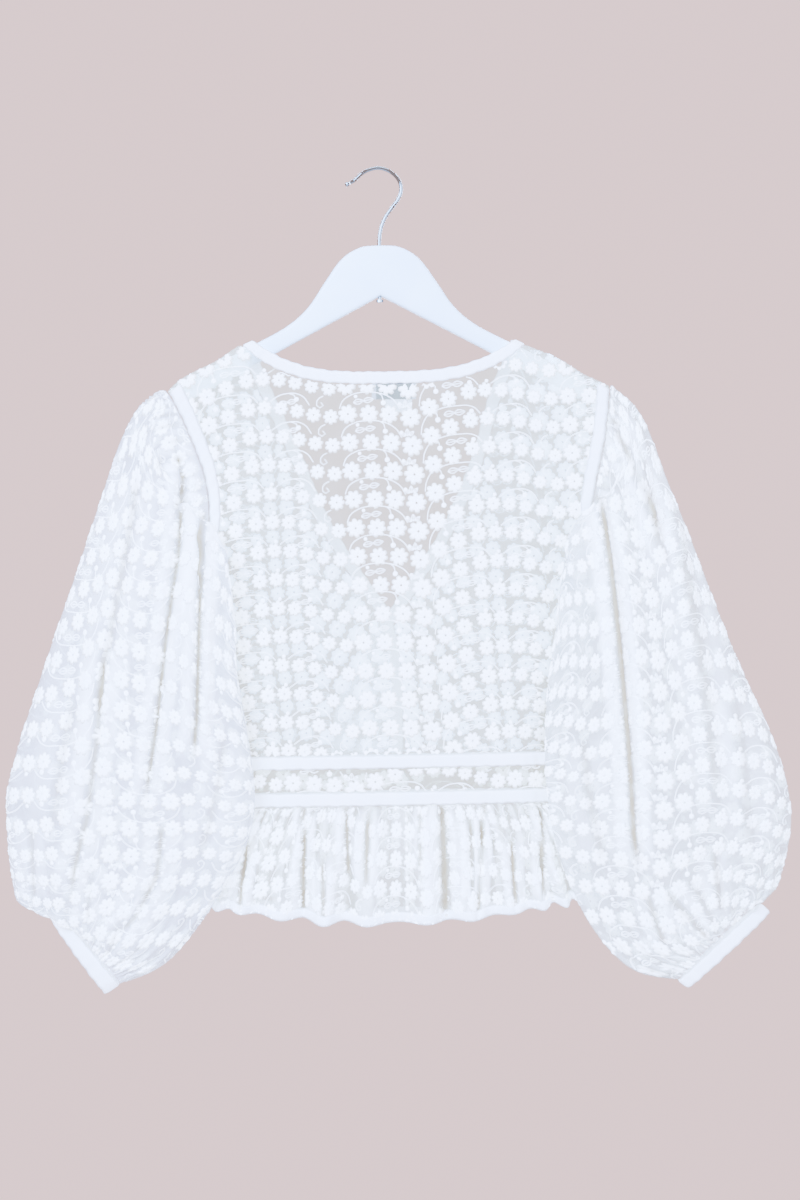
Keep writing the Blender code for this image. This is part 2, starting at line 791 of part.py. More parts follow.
def add_bodice(collection):
    rows = bodice_rows()
    back_columns = NECK_COLUMNS + 2 * SHOULDER_COLUMNS
    tape_rows = rows[ARMHOLE_TAPE_ROWS[0] : ARMHOLE_TAPE_ROWS[1]]
    cloth("bodice_back", back_panel, even(back_columns), rows, LACE_WALL, LACE, collection)
    cloth("neck_binding_back", back_binding, even(NECK_COLUMNS), even(3), BINDING_WALL, COTTON, collection)
    for name, front in FRONTS.items():
        panel = front_panel(front)
        cloth(f"bodice_front_{name}", panel, even(FRONT_COLUMNS), rows, LACE_WALL, LACE, collection)
        cloth(f"neck_binding_{name}", front_binding(front), even(1), rows, BINDING_WALL, COTTON, collection)
        back_u = 0.0 if front["side"] < 0 else 1.0 - 1.0 / back_columns
        strips = {
            "back": armhole_strip(back_panel, back_u, back_u + 1.0 / back_columns, -1),
            "front": armhole_strip(panel, 1.0 - 1.0 / FRONT_COLUMNS, 1.0, 1),
        }
        for where, strip in strips.items():
            tape = f"armhole_tape_{where}_{name}"
            cloth(tape, strip, even(1), tape_rows, TAPE_WALL, COTTON, collection)


def add_labels(collection):
    """The woven label and its size tab hang inside the back neck, behind the lace."""
    label, tab = label_surface(LABEL_BOX), label_surface(SIZE_TAB_BOX)
    cloth("neck_label", label, even(4), even(2), LABEL_WALL, LABEL, collection)
    cloth("size_tab", tab, even(2), even(2), LABEL_WALL, COTTON, collection)


def add_waist(collection):
    strips = (
        ("waist_tape_upper", UPPER_TAPE, TAPE_WALL, COTTON),
        ("waist_lace_band", LACE_BAND, LACE_WALL, LACE),
        ("waist_tape_lower", LOWER_TAPE, TAPE_WALL, COTTON),
    )
    top_z = WAIST_TOP_Z
    for name, width, wall, look in strips:
        cloth(name, band(top_z, width), even(40), even(1), wall, look, collection, tube=True)
        top_z -= width
    cloth("peplum", peplum, even(150), even(4), LACE_WALL, LACE, collection, tube=True)


def add_sleeves(collection):
    for name, rows, side in (("left", LEFT_SLEEVE, -1), ("right", RIGHT_SLEEVE, 1)):
        sleeve = rippled(sleeve_base(rows, side), sleeve_ripple)
        cuff = cuff_surface(rows, side, name)
        cloth(f"sleeve_{name}", sleeve, even(72), even(13), LACE_WALL, LACE, collection, tube=True)
        cloth(f"cuff_{name}", cuff, even(30), even(1), BINDING_WALL, COTTON, collection, tube=True)


def main():
    for old in list(bpy.data.objects):
        bpy.data.objects.remove(old)
    blouse = bpy.data.collections.new("lace_blouse")
    cutters = bpy.data.collections.new("cutters")
    for made in (blouse, cutters):
        bpy.context.scene.collection.children.link(made)
    add_hanger(blouse, cutters)
    add_hook(blouse)
    add_bodice(blouse)
    add_labels(blouse)
    add_waist(blouse)
    add_sleeves(blouse)


main()
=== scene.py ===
"""Looks for a lace blouse on its hanger: net, embroidery, tapes, stitches, folds, light and camera.

Every cloth piece is laid on the middle of its solid's wall, worked out from the same cut. Lengths
in names and tables are millimetres and turn into metres where a mesh is made. The blouse's back
faces -Y, towards the camera, and its wearer's left is towards -X.
"""

import math
from functools import partial

import bmesh
import bpy
import numpy as np
from mathutils import Matrix, Vector


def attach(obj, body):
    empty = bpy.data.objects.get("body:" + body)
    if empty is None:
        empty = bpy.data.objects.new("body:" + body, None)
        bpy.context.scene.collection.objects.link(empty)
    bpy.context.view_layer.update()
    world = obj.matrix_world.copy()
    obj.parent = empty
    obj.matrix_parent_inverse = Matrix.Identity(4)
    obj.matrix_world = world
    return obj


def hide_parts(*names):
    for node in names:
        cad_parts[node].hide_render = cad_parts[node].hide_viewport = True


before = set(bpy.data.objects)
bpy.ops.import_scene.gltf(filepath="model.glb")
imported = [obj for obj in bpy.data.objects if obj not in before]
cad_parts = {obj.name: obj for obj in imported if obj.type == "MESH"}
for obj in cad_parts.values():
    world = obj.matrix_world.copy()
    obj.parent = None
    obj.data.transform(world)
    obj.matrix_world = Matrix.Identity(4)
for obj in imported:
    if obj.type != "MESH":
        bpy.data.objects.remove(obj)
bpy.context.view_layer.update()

MM = 0.001

# The blouse's cut, as its solids have it

SEAM_GAP = 0.3
SHOULDER_TIP_Z = -219.0
UNDERARM_Z = -432.0
WAIST_TOP_Z = -584.5
UPPER_TAPE = 13.0
LACE_BAND = 23.5
LOWER_TAPE = 13.5
HEM_Z = -733.0
HEM_SAG = 18.0
NECK_HALF = 130.0
WAIST_HALF = 160.0
HEM_HALF = 206.0
HANGER_TILT = 0.0125
WAIST_TILT = 0.019
NECK_BACK_Z = -202.5
NECK_BACK_POWER = 3.2
BINDING_WIDTH = 12.0
BINDING_OUT = 0.4
PANEL_EDGE = 0.75
BINDING_EDGE = 1.0
SHOULDER_ROLL = 9.5
NECK_PART = 18 / 26
SHOULDER_SHARES = (0.0, 0.3, 0.6, 0.86, 1.0)
SHOULDER_SLOPE = 0.5
CROSS_STEP = 3.4
CROSS_BLEND = 26.0

MIDDLE_LINE = {
    "z": (-760, -587, -432, -345, -310, -270, -228, -219, -200, -150),
    "x": (15, 18, 19, 22, 22.5, 19.5, 12, 9.5, 4.5, 3.5),
}
SHOULDER_SEAM = {
    "x": (-211, -205, -199, -165, -126, 133, 147, 164, 181, 195, 205, 219, 230),
    "z": (-219, -212.4, -207.4, -190.2, -169.6, -171.6, -177, -184, -191.7, -200.4, -207, -213.4, -219),
}
SIDE_EDGE = {
    "z": (-587, -540, -490, -455, -432, -410, -380, -345, -310, -270, -245, -228, -219),
    "half": (160, 172, 190, 205, 212, 204, 194, 190, 194, 205, 212, 217, 220.5),
}
ARMHOLE_DEPTH = {
    "z": (-432, -420, -390, -340, -290, -250, -219),
    "depth": (0.7, 5, 11, 14, 13, 10.5, 10),
}
PANEL_DEPTH = {
    "z": (-760, -690, -640, -587, -500, -400, -300, -240, -200, -150),
    "depth": (30, 25, 20, 19, 21, 19, 14, 11, 10, 10),
}
FRONT_EDGES = {
    "left": {
        "z": (-587, -530, -475, -435, -410, -350, -280, -215, -175),
        "x": (24, 24, 19, 6, -11, -49, -79, -109, -126),
    },
    "right": {
        "z": (-587, -530, -475, -435, -400, -360, -290, -215, -175),
        "x": (-49, -42, -14, 14, 37, 62, 92, 114, 132),
    },
}
SLEEVE_COLUMNS = (
    "outer_x", "outer_z", "inner_x", "inner_z", "outer_y", "inner_y", "bow", "near", "far",
)
SLEEVES = {
    "left": (
        (-225, -226, -210, -437, 0, -10, 24, 19, 14),
        (-240, -240, -196, -440, -2, -24, 38, 22, 14),
        (-257, -272, -168, -444, -4, -31, 48, 23, 15),
        (-277, -330, -148, -464, -6, -34, 38, 24, 17),
        (-298, -393, -139, -504, -8, -34, 16, 28, 19),
        (-320, -457, -131, -548, -10, -33, 4, 31, 21),
        (-342, -523, -124, -592, -11, -31, 0, 33, 23),
        (-361, -582, -121, -630, -12, -30, 0, 34, 24),
        (-371, -632, -127, -666, -12, -30, 0, 33, 24),
        (-369, -676, -144, -702, -12, -28, 0, 30, 22),
        (-364, -708, -172, -744, -12, -26, 0, 26, 20),
        (-355, -732, -210, -787, -12, -22, 0, 21, 18),
        (-314, -737, -257, -811, -12, -17, 0, 13, 12),
    ),
    "right": (
        (240, -224, 248, -437, 0, -10, 22, 19, 14),
        (254, -238, 234, -440, -2, -24, 36, 22, 14),
        (269, -266, 205, -446, -4, -31, 46, 23, 15),
        (289, -318, 184, -463, -6, -34, 38, 24, 17),
        (312, -374, 173, -498, -8, -34, 20, 28, 19),
        (335, -436, 168, -544, -10, -33, 8, 31, 21),
        (360, -498, 167, -590, -11, -31, 0, 33, 23),
        (386, -554, 170, -626, -12, -30, 0, 34, 24),
        (404, -606, 176, -664, -12, -30, 0, 33, 24),
        (410, -650, 190, -708, -12, -28, 0, 30, 22),
        (403, -690, 214, -755, -12, -26, 0, 26, 20),
        (394, -716, 250, -793, -12, -22, 0, 20, 17),
        (376, -729, 297, -807, -12, -17, 0, 13, 12),
    ),
}
CUFF_END = {
    "left": {"outer_x": -327, "outer_z": -747, "inner_x": -272, "inner_z": -821},
    "right": {"outer_x": 389, "outer_z": -741, "inner_x": 308, "inner_z": -815},
}
CUFF_HALF_DEPTH = 12.5
CUFF_CLEAR = 1.0
CUFF_UNDER_PUFF = 3.3
SIDES = {"left": -1, "right": 1}

# Gathers, as the solids have them, and finer ones between

PEPLUM_WAVES = 30
PEPLUM_TOP_WAVE = 1.3
PEPLUM_HEM_WAVE = 5.6
PEPLUM_HEM_DIP = 0.35
PEPLUM_FINE_WAVES = 83
PEPLUM_FINE_WAVE = 1.6
SLEEVE_GATHERS = 18
SLEEVE_HEAD_WAVE = 2.2
SLEEVE_CUFF_WAVE = 1.7
SLEEVE_FOLD = 4.2
SLEEVE_FINE_GATHERS = 41
SLEEVE_FINE_WAVE = 1.5

# Sums of waves: each row is a height, how many go round and where it starts, in radians
WAVES = {
    "peplum wander": ((0.9, 3, 0.6), (0.7, 7, 2.1)),
    "peplum uneven": ((0.35, 5, 1.3), (0.2, 11, 0.0)),
    "peplum fine wander": ((1.4, 4, 0.3), (1.1, 9, 1.0)),
    "peplum fine reach": ((0.2, 13, 0.0), (0.16, 31, 1.0)),
    "peplum fine uneven": ((0.25, 19, 0.5),),
    "sleeve wander": ((0.5, 2, 0.7),),
    "sleeve fine wander": ((1.2, 3, 0.4), (0.9, 7, 2.0)),
    "sleeve fine reach": ((0.05, 11, 1.0), (0.04, 17, 0.0)),
}

# The painted tone across a fold, in widths of it: how dark the painted shade in its trough is and how
# narrow, then how pale the doubled cloth beside it is, partly painted light, where that starts and
# stops, and how softly
FOLD_LOOKS = {
    "peplum": {"dark": 1.2, "narrow": 1.3, "pale": 0.7, "start": 0.8, "stop": 4.2, "fade": 1.2},
    "sleeve": {"dark": 1.25, "narrow": 1.5, "pale": 0.8, "start": 0.7, "stop": 4.6, "fade": 1.6},
}
# The depth of a crease whose painted shade is whole
FULL_DEPTH = 8.0
# The far side's creases: how far aside they lie, and their share of height and of tone
FAR_CREASES = {"aside": 9.0, "height": 0.45, "tone": 0.3}

# Slight unevenness of panels, short gathers above the waist seam, and puckers of sewn strips
PANEL_WAVE = 0.7
WAIST_GATHER = 1.1
PUCKER = {"strip": 0.26, "cuff": 0.2, "sideways": 0.3}

# Walls of the net and of the plain cotton pieces, and the hem's height
NET_WALL = 1.0
TAPE_WALL = 1.4
BINDING_WALL = 1.8
HEM_WALL = 1.7
HEM_HEIGHT = 9.0
ARMHOLE_TAPE_ROWS = (0.49, 0.99)

# The flat cut of each piece as it shows, all round on a tube: width and length in metres
FLAT_CUTS = {
    "back": (0.43, 0.42),
    "front_left": (0.29, 0.42),
    "front_right": (0.29, 0.42),
    "band": (0.024, 0.65),
    "peplum": (1.08, 0.115),
    "sleeve_left": (0.5, 0.527),
    "sleeve_right": (0.5, 0.513),
    "binding_back": (0.012, 0.29),
    "binding_front_left": (0.012, 0.46),
    "binding_front_right": (0.012, 0.46),
    "tape_armhole_back_left": (0.0122, 0.19),
    "tape_armhole_front_left": (0.01, 0.19),
    "tape_armhole_back_right": (0.0118, 0.19),
    "tape_armhole_front_right": (0.0107, 0.19),
    "tape_waist_upper": (0.013, 0.66),
    "tape_waist_lower": (0.0135, 0.66),
    "cuff_band_left": (0.016, 0.198),
    "cuff_band_right": (0.016, 0.198),
}

# Main creases of each sleeve, in the plane of the garment: x and z along the crease, then how
# deep it is and how wide. The far side has the same ones, shallower and a little aside.
CREASE_COLUMNS = ("x", "z", "depth", "width")
CREASES = {
    "left": (
        ((-206, -194, -198, -211, -218, -232), (-263, -307, -376, -474, -547, -645), 7.5, 4.0),
        ((-173, -176, -178, -182), (-336, -441, -539, -596), 8.0, 4.2),
        ((-271, -277, -287, -300, -304), (-474, -568, -645, -694, -730), 5.0, 5.0),
        ((-212, -218, -239, -259), (-645, -702, -742, -763), 5.5, 4.5),
        ((-346, -342), (-652, -730), 3.5, 4.0),
        ((-238, -248, -262, -281), (-300, -372, -452, -560), 3.4, 6.5),
        ((-300, -313, -322), (-520, -590, -660), 2.6, 7.0),
        ((-150, -158, -176), (-560, -620, -690), 3.0, 5.5),
        ((-280, -286, -288), (-690, -722, -752), 3.6, 3.6),
        ((-238, -256, -268), (-716, -752, -778), 3.4, 3.6),
    ),
    "right": (
        ((216, 226, 235, 245, 250, 257), (-311, -389, -474, -580, -661, -709), 8.5, 4.5),
        ((230, 243, 255, 269, 275), (-247, -275, -308, -345, -385), 5.0, 4.5),
        ((328, 336), (-673, -738), 4.0, 4.0),
        ((263, 281), (-718, -770), 4.5, 4.0),
        ((279, 324), (-713, -763), 4.0, 4.0),
        ((290, 305, 322, 335), (-330, -420, -520, -640), 3.2, 7.0),
        ((345, 358, 366), (-520, -590, -680), 2.6, 6.5),
        ((200, 206, 222), (-560, -620, -690), 3.0, 5.5),
        ((258, 268, 285), (-280, -330, -400), 3.4, 5.0),
        ((302, 318, 330), (-700, -726, -752), 3.2, 3.6),
    ),
}
# Deep folds of the peplum behind: x at the tape and at the hem, the part of its height, 0 at the
# tape, that each runs through, its depth and its width. Each has another in front, mirrored and
# moved along by so much at the tape and at the hem.
PEPLUM_FOLDS = {
    "x_top": (-129, -74, -57, -32, 41, 63, 92, 104, 162, -10, 130),
    "x_hem": (-139, -76, -54, -30, 42, 66, 93, 98, 164, -14, 136),
    "start": (0.0, 0.0, 0.45, 0.0, 0.0, 0.0, 0.1, 0.0, 0.0, 0.1, 0.3),
    "stop": (1.0, 1.0, 1.0, 0.6, 0.55, 1.0, 0.8, 1.0, 0.9, 0.7, 1.0),
    "depth": (4.5, 4.5, 3.5, 4.0, 4.0, 6.5, 3.5, 4.0, 3.5, 3.0, 3.0),
    "width": (3.4, 3.0, 3.0, 3.0, 3.2, 5.5, 2.8, 3.0, 3.2, 3.4, 3.0),
}
IN_FRONT_TOP, IN_FRONT_HEM = 41, 38

# One row of the embroidery, charted; z is up. Rows follow each other down the cloth.

ROW_PITCH = 28.5
REPEAT = 220.0
DAISIES = {
    "x": (0, 21, 41, 62, 81.5, 101, 121.5, 138, 154, 170, 186, 203),
    "z": (0, -1.5, -3.5, -8.5, 0, 7, 12.5, 13, 11, 7, 2, -1.5),
    "across": (18.6, 17.8, 18.8, 20.8, 18.8, 17.2, 16.8, 15.8, 15, 14.8, 14.6, 15.4),
}
BUDS = {
    "x": (89, 36, 123, 170, 9, 52, 140),
    "z": (15.5, 8.5, 21.5, 19, 17, 6, 22),
    "across": (5.2, 5.2, 4.8, 4.8, 3.6, 3.6, 3.8),
}
VINES = (
    ((71.5, 2), (73.5, 12), (80, 21.5), (91, 26), (103.5, 28), (116, 28), (126, 25), (131.5, 18.5)),
    ((86, 24.4), (88.5, 21), (89, 15.5)),
    ((-8, 6), (-4, 14), (5, 19), (15, 20.6), (26, 20), (38, 16.5), (47, 10), (52, 1)),
    ((32, 18.6), (35.5, 15), (36, 8.5)),
    ((144, 19), (154, 24.5), (166, 25.6), (177, 21), (182.5, 12)),
    ((163, 25.4), (168.5, 23), (170, 19)),
    ((197, -8.5), (191.5, -11), (189.4, -16), (192.5, -20), (196.4, -17.6), (194, -14.6)),
)
LEAVES = {
    "x": (6.5, 16.5, 95.5, 106, 152, 161, 58, 56, 60),
    "z": (11, 12, 20, 21, 15.5, 16.5, 2, 2, 2),
    "turn": (8, 6, 8, 4, 8, 6, 92, 140, 45),
    "length": (10, 10, 10.5, 10.5, 9, 9, 7, 6, 6),
}
THREAD_WIDTH = 0.8
THREAD_HEIGHT = 0.5
THREAD_STEP = 3.7
LEAF_RIB = {"width": 0.7, "height": 0.35}
LEAF_SHAPE = 0.5
PETALS = 8
# A petal from notch to notch, and a daisy's rings from its eye over its rim to its far face
PETAL = {"rim": (0.72, 0.95, 1.0, 0.95), "relief": (0.012, 0.042, 0.05, 0.042)}
DAISY_RINGS = {
    "radius": (0.055, 0.32, 0.52, 0.07),
    "lift": (0.5, 1.0, 0.1, 0.0),
    "start": (0.0, 0.0, -0.008, -0.028),
    "shaped": (False, False, True, False),
}
BUD_SIDES = 8
BUD_RINGS = ((0.5, 0.02), (0.3, 0.12))
EMBROIDERY_LIFT = 0.12
# How much motifs turn, in radians, and how much their sizes differ
MOTIF_TURN = 0.35
MOTIF_UNEVEN = 0.04
# The tone above which cloth is folded in, with its embroidery out of sight
FOLDED_AWAY = 0.8

# Where the chart starts on each piece, and its lean in degrees
CHARTS = {
    "back": {"x": -31.0, "z": -244.6, "lean": 4.0},
    "front_left": {"x": 200.0, "z": -243.0, "lean": -5.0},
    "front_right": {"x": 0.0, "z": -232.5, "lean": -6.0},
    "sleeve_left": {"x": 330.0, "z": -16.0, "lean": 194.0},
    "sleeve_right": {"x": -120.0, "z": -10.0, "lean": -16.0},
    "band": {"x": 60.0, "z": -12.8, "lean": 0.0},
    "peplum": {"x": 30.0, "z": -22.0, "lean": 0.0},
}

# Net ground, woven cotton and stitches
NET_PITCH = 1.5
NET_SLANT = 0.8
NET_UNEVEN = 0.4
THREAD_EDGE = (0.72, 0.95)
WEAVE_PITCH = 0.55
STITCH = {"length": 2.1, "width": 0.42, "pitch": 2.9}
STITCH_SIDES = 5
STITCH_RINGS = ((-0.5, 0.35), (0.0, 1.0), (0.5, 0.35))
# Where the two rows of stitches run across a strip, and how far out they lie on a ring and on a
# strip with ends
STITCH_ROWS = (0.16, 0.84)
STITCH_LIFT = {True: 0.62, False: 0.78}

# Flat widths of the gathered pieces, and the round length of the waist's lace
SLEEVE_FLAT_WIDTH = 500.0
PEPLUM_FLAT_WIDTH = 1080.0
BAND_FLAT_WIDTH = 650.0

# How finely each piece is drawn
BACK_COLUMNS, FRONT_COLUMNS = 150, 96
PANEL_ROWS = (0.9, 118, 26)
SLEEVE_ROWS = (0.12, 34, 136)
BINDING_ROWS, TAPE_ROWS = 7, 5
BACK_BINDING_STEPS, FRONT_BINDING_STEPS, ARMHOLE_STEPS = 200, 260, 110
WAIST_STEPS, BAND_ROWS, CUFF_STEPS = 360, 9, 160
PEPLUM_COLUMNS, PEPLUM_ROWS, HEM_ROWS, HEM_DROP = 900, 34, 5, 105.0
SLEEVE_COLUMN_COUNT = 250
# The part of the back's and of a front's width that an armhole tape covers
BACK_TAPE_PART = 1 / 26
FRONT_TAPE_PART = 1 / 11

# Hanger and hook
HANGER_THICK = 12.0
HANGER_EDGE_ROUND = 3.5
HANGER_END = 203.0
HANGER_NOTCH_Z = -126.0
ARM_LOWER_SLOPE = 0.53
HANGER_TOP = {
    "x": (0, 14, 27, 36, 44, 52, 60, 68.5, 78, 88, 100, 116, 131, 203),
    "z": (-76, -76.5, -81, -87, -95.5, -107, -119, -132, -143, -151.5, -159.5, -168, -175.5, -211.5),
}
HOOK_LINE = {
    "x": (
        0.75, 0.1, 1.6, 3.9, 6.5, 12, 17.3, 21.2, 22,
        20, 15.4, 8.4, -1, -10.7, -17, -21.6, -25, -29.4,
    ),
    "z": (
        -129, -76, -60, -52.5, -47, -39, -32, -24.5, -18,
        -11, -5, -0.3, 1.9, -0.2, -3.6, -7.6, -10.7, -13.1,
    ),
}
WIRE_RADIUS = 1.8
# Places along the hanger's upper edge, and the numbers of steps along and round the wire
HANGER_STEPS = ((0, 140, 57), (150, 200, 6))
WIRE_STEPS, WIRE_ROUND = 130, 6

# Painted shade of cloth deep in a fold; the colour of cloth doubled on a ridge, whiter and with a
# painted glow; the strength of the painted glow that stands for light coming through the cloth; and
# the painted shade that each sleeve throws on the body's side below its armhole, left and right
SHADE = (0.30, 0.235, 0.115, 1)
DOUBLED_AND_LIT = (0.80, 0.90, 1.0, 1)
THROUGH = 1.9
SIDE_SHADE = (0.36, 0.6)

# Lit and shaded copies of one net ground: each one's dark and light threads, how closely it covers
# and how much light it lets by, shown as a painted glow
NET_COLUMNS = ("name", "dark", "light", "cover", "glow")
NET_TONES = {
    # Painted shade: the back's and the waist lace's net is dark beige, for shade seen through it
    "beige_shade": ("net ground", (0.36, 0.38, 0.25), (0.42, 0.45, 0.32), 0.37, 0.1),
    # Painted light: the fronts' net is whiter where two layers lie and glows for light through it
    "white": ("net ground doubled", (0.50, 0.54, 0.53), (0.60, 0.64, 0.64), 0.50, 0.45),
    # Painted light and shade: the left sleeve's net is lighter and bluer than the right's
    "left": ("net ground of the left sleeve", (0.49, 0.53, 0.57), (0.59, 0.63, 0.67), 0.52, 0.32),
    "right": ("net ground of the right sleeve", (0.47, 0.51, 0.49), (0.57, 0.61, 0.59), 0.50, 0.3),
    # Painted shade: the peplum's gathered net is darker and greyer
    "grey_shade": ("net ground gathered", (0.43, 0.44, 0.36), (0.54, 0.56, 0.48), 0.42, 0.25),
}
# The light behind the embroidery of the back, of the fronts and of the gathered pieces
THREAD_GLOW = {"back": (1.0, 1.0, 1.0), "fronts": (1.55, 2.15, 3.6), "gathered": (1.15, 1.3, 1.6)}

# Pairs of colours that each finish varies between
THREAD_COLOURS = ((0.84, 0.93, 1.0, 1), (0.89, 0.96, 1.0, 1))
COTTON_COLOURS = ((0.78, 0.89, 1.0, 1), (0.83, 0.92, 1.0, 1))
LABEL_COLOURS = ((0.012, 0.018, 0.04, 1), (0.60, 0.66, 0.74, 1))
PAINT_COLOURS = ((0.60, 0.84, 1.0, 1), (0.65, 0.88, 1.0, 1))
# Painted light: the glow of the hanger's arms, none where bare, bluish where cloth covers them
PAINT_LIGHT = ((0.0, 0.0, 0.0, 1), (0.50, 0.66, 1.0, 1))
FLOOR_COLOURS = ((0.70, 0.66, 0.66, 1), (0.74, 0.70, 0.70, 1))
CHROME_COLOUR = (0.16, 0.20, 0.20, 1)
# In metres: the label's weave, its middle and where its pale ends start, and where cloth starts to
# cover the hanger's arms, and with it their painted glow
LABEL_WEAVE = 0.0007
LABEL_X = 0.015
LABEL_ENDS = (0.0175, 0.0183)
COVERED_FROM = (0.122, 0.136)

# Camera, backdrop and lights
EYE = (21.0, -2833.0, -430.0)
LENS = 85.0
BACKDROP = (1.80, 1.22, 1.30)
FLOOR_Z = -1400.0
FLOOR_RADIUS = 1250.0
LIT_PLACE = (20, 0, -470)
LIGHTS = (
    {"name": "key", "at": (-1300, -2300, 700), "size": 1700, "watts": 430, "colour": (0.52, 0.82, 1.6)},
    {"name": "fill", "at": (1700, -2100, 100), "size": 1900, "watts": 170, "colour": (0.52, 0.82, 1.6)},
    {"name": "front", "at": (300, 2300, 500), "size": 1700, "watts": 200, "colour": (0.62, 0.86, 1.4)},
    {"name": "top", "at": (0, -300, 1900), "size": 1500, "watts": 70, "colour": (0.62, 0.86, 1.4)},
)


# Reading tables and blending

def table(columns, across, value):
    """A smooth curve through a table's two columns, read at one place or a whole array."""
    x = np.array(columns[across], float)
    y = np.array(columns[value], float)
    step = np.diff(y) / np.diff(x)
    inner = np.where(step[:-1] * step[1:] > 0, (step[:-1] + step[1:]) / 2, 0.0)
    limit = 3 * np.minimum(np.abs(step[:-1]), np.abs(step[1:]))
    slopes = np.concatenate(([step[0]], np.clip(inner, -limit, limit), [step[-1]]))

    def read(at):
        at = np.clip(at, x[0], x[-1])
        i = np.clip(np.searchsorted(x, at, side="right") - 1, 0, len(x) - 2)
        width = x[i + 1] - x[i]
        t = (at - x[i]) / width
        return (
            y[i] * (1 + 2 * t) * (1 - t) ** 2
            + slopes[i] * width * t * (1 - t) ** 2
            + y[i + 1] * t * t * (3 - 2 * t)
            + slopes[i + 1] * width * t * t * (t - 1)
        )

    return read


side_half = table(SIDE_EDGE, "z", "half")
armhole_depth = table(ARMHOLE_DEPTH, "z", "depth")
panel_depth = table(PANEL_DEPTH, "z", "depth")
centre_x = table(MIDDLE_LINE, "z", "x")
seam_z = table(SHOULDER_SEAM, "x", "z")
hanger_top_z = table(HANGER_TOP, "x", "z")
front_edge_x = {name: table(edge, "z", "x") for name, edge in FRONT_EDGES.items()}


def smooth(value):
    t = np.clip(value, 0.0, 1.0)
    return t * t * (3 - 2 * t)


def mix(a, b, share):
    return a + (b - a) * share


def place(*columns):
    """Arrays of coordinates as one array of points."""
    return np.stack(np.broadcast_arrays(*columns), axis=-1)


def unit(vectors):
    return vectors / np.linalg.norm(vectors, axis=-1, keepdims=True)


def lengths_along(points):
    """How far each point lies along the line from the first."""
    return np.concatenate(([0.0], np.cumsum(np.linalg.norm(np.diff(points, axis=0), axis=-1))))


def waves(name, turn):
    return sum(height * np.sin(count * turn + start) for height, count, start in WAVES[name])


def fold_across(off, look):
    """Height and painted tone across a fold: a trough in painted shade between two low ridges of
    doubled cloth, painted paler.
    """
    ridge = np.exp(-(((off - 2.0) / 1.1) ** 2))
    doubled = smooth((off - look["start"]) / 0.5) * smooth((look["stop"] - off) / look["fade"])
    shaded = look["dark"] * np.exp(-((look["narrow"] * off) ** 2))
    return 0.5 * ridge - np.exp(-(off**2)), shaded - look["pale"] * doubled


# The blouse's lines and surfaces

def tilt_z(x, z):
    return x * mix(HANGER_TILT, WAIST_TILT, smooth((-240 - z) / 250))


def body_depth(x, z, edge):
    half = np.where(z > WAIST_TOP_Z, side_half(z), WAIST_HALF)
    reach = np.minimum(np.abs(x - centre_x(z)) / half, 1.0)
    at_side = np.where(z > UNDERARM_Z, armhole_depth(z), edge)
    depth = at_side + np.maximum(panel_depth(z) - at_side, 0.0) * (1 - reach**3) ** 0.8
    over = np.clip((seam_z(x) - z) / SHOULDER_ROLL, 0.0, 1.0)
    return np.maximum(edge, depth * np.sqrt(over * (2 - over)))


def side_point(v, side):
    z = mix(WAIST_TOP_Z, SHOULDER_TIP_Z, v)
    return centre_x(z) + side * side_half(z), z


def seam_direction(side):
    length = math.hypot(1.0, SHOULDER_SLOPE)
    return side / length, -SHOULDER_SLOPE / length


def neck_back_point(t, drop):
    side = np.where(t < 0, -1.0, 1.0)
    middle = centre_x(NECK_BACK_Z)
    rise = seam_z(middle + side * NECK_HALF) - NECK_BACK_Z
    z = NECK_BACK_Z + rise * np.abs(t) ** NECK_BACK_POWER
    slope = rise * NECK_BACK_POWER * np.abs(t) ** (NECK_BACK_POWER - 1) / NECK_HALF
    length = np.hypot(slope, 1.0)
    seam_x, seam_down = seam_direction(side)
    turn = smooth((np.abs(t) - 0.88) / 0.12)
    down_x = mix(side * slope / length, seam_x, turn)
    down_z = mix(-1.0 / length, seam_down, turn)
    return middle + t * NECK_HALF + drop * down_x, z + drop * down_z


def neck_share(s):
    return np.sin(math.pi / 2 * s)


def coons(u, v, left, right, bottom, top):
    """Points inside four boundary curves, each of which gives x and z."""
    ends = [place(*curve(at)) for curve, at in ((bottom, u), (top, u), (left, v), (right, v))]
    corners = [np.array(curve(np.array(float(at)))) for curve, at in (
        (bottom, 0), (bottom, 1), (top, 0), (top, 1),
    )]
    u, v = u[..., None], v[..., None]
    inside = (1 - v) * ends[0] + v * ends[1] + (1 - u) * ends[2] + u * ends[3]
    twice = (1 - u) * (1 - v) * corners[0] + u * (1 - v) * corners[1]
    twice = twice + (1 - u) * v * corners[2] + u * v * corners[3]
    inside = inside - twice
    return inside[..., 0], inside[..., 1]


def back_outline(u, v):
    def top(at):
        across = 2 * at - 1
        side = np.where(across < 0, -1.0, 1.0)
        t = neck_share(np.clip(across / NECK_PART, -1, 1))
        neck_x, neck_z = neck_back_point(t, BINDING_WIDTH + SEAM_GAP)
        past = np.clip((np.abs(across) - NECK_PART) / (1 - NECK_PART), 0, 1)
        share = np.interp(past, np.linspace(0, 1, len(SHOULDER_SHARES)), SHOULDER_SHARES)
        x = mix(neck_x, side_point(1.0, side)[0], share)
        on_neck = np.abs(across) <= NECK_PART
        return np.where(on_neck, neck_x, x), np.where(on_neck, neck_z, seam_z(x))

    def bottom(at):
        return centre_x(WAIST_TOP_Z) + WAIST_HALF * (2 * at - 1), WAIST_TOP_Z + 0 * at

    return coons(u, v, lambda t: side_point(t, -1), lambda t: side_point(t, 1), bottom, top)


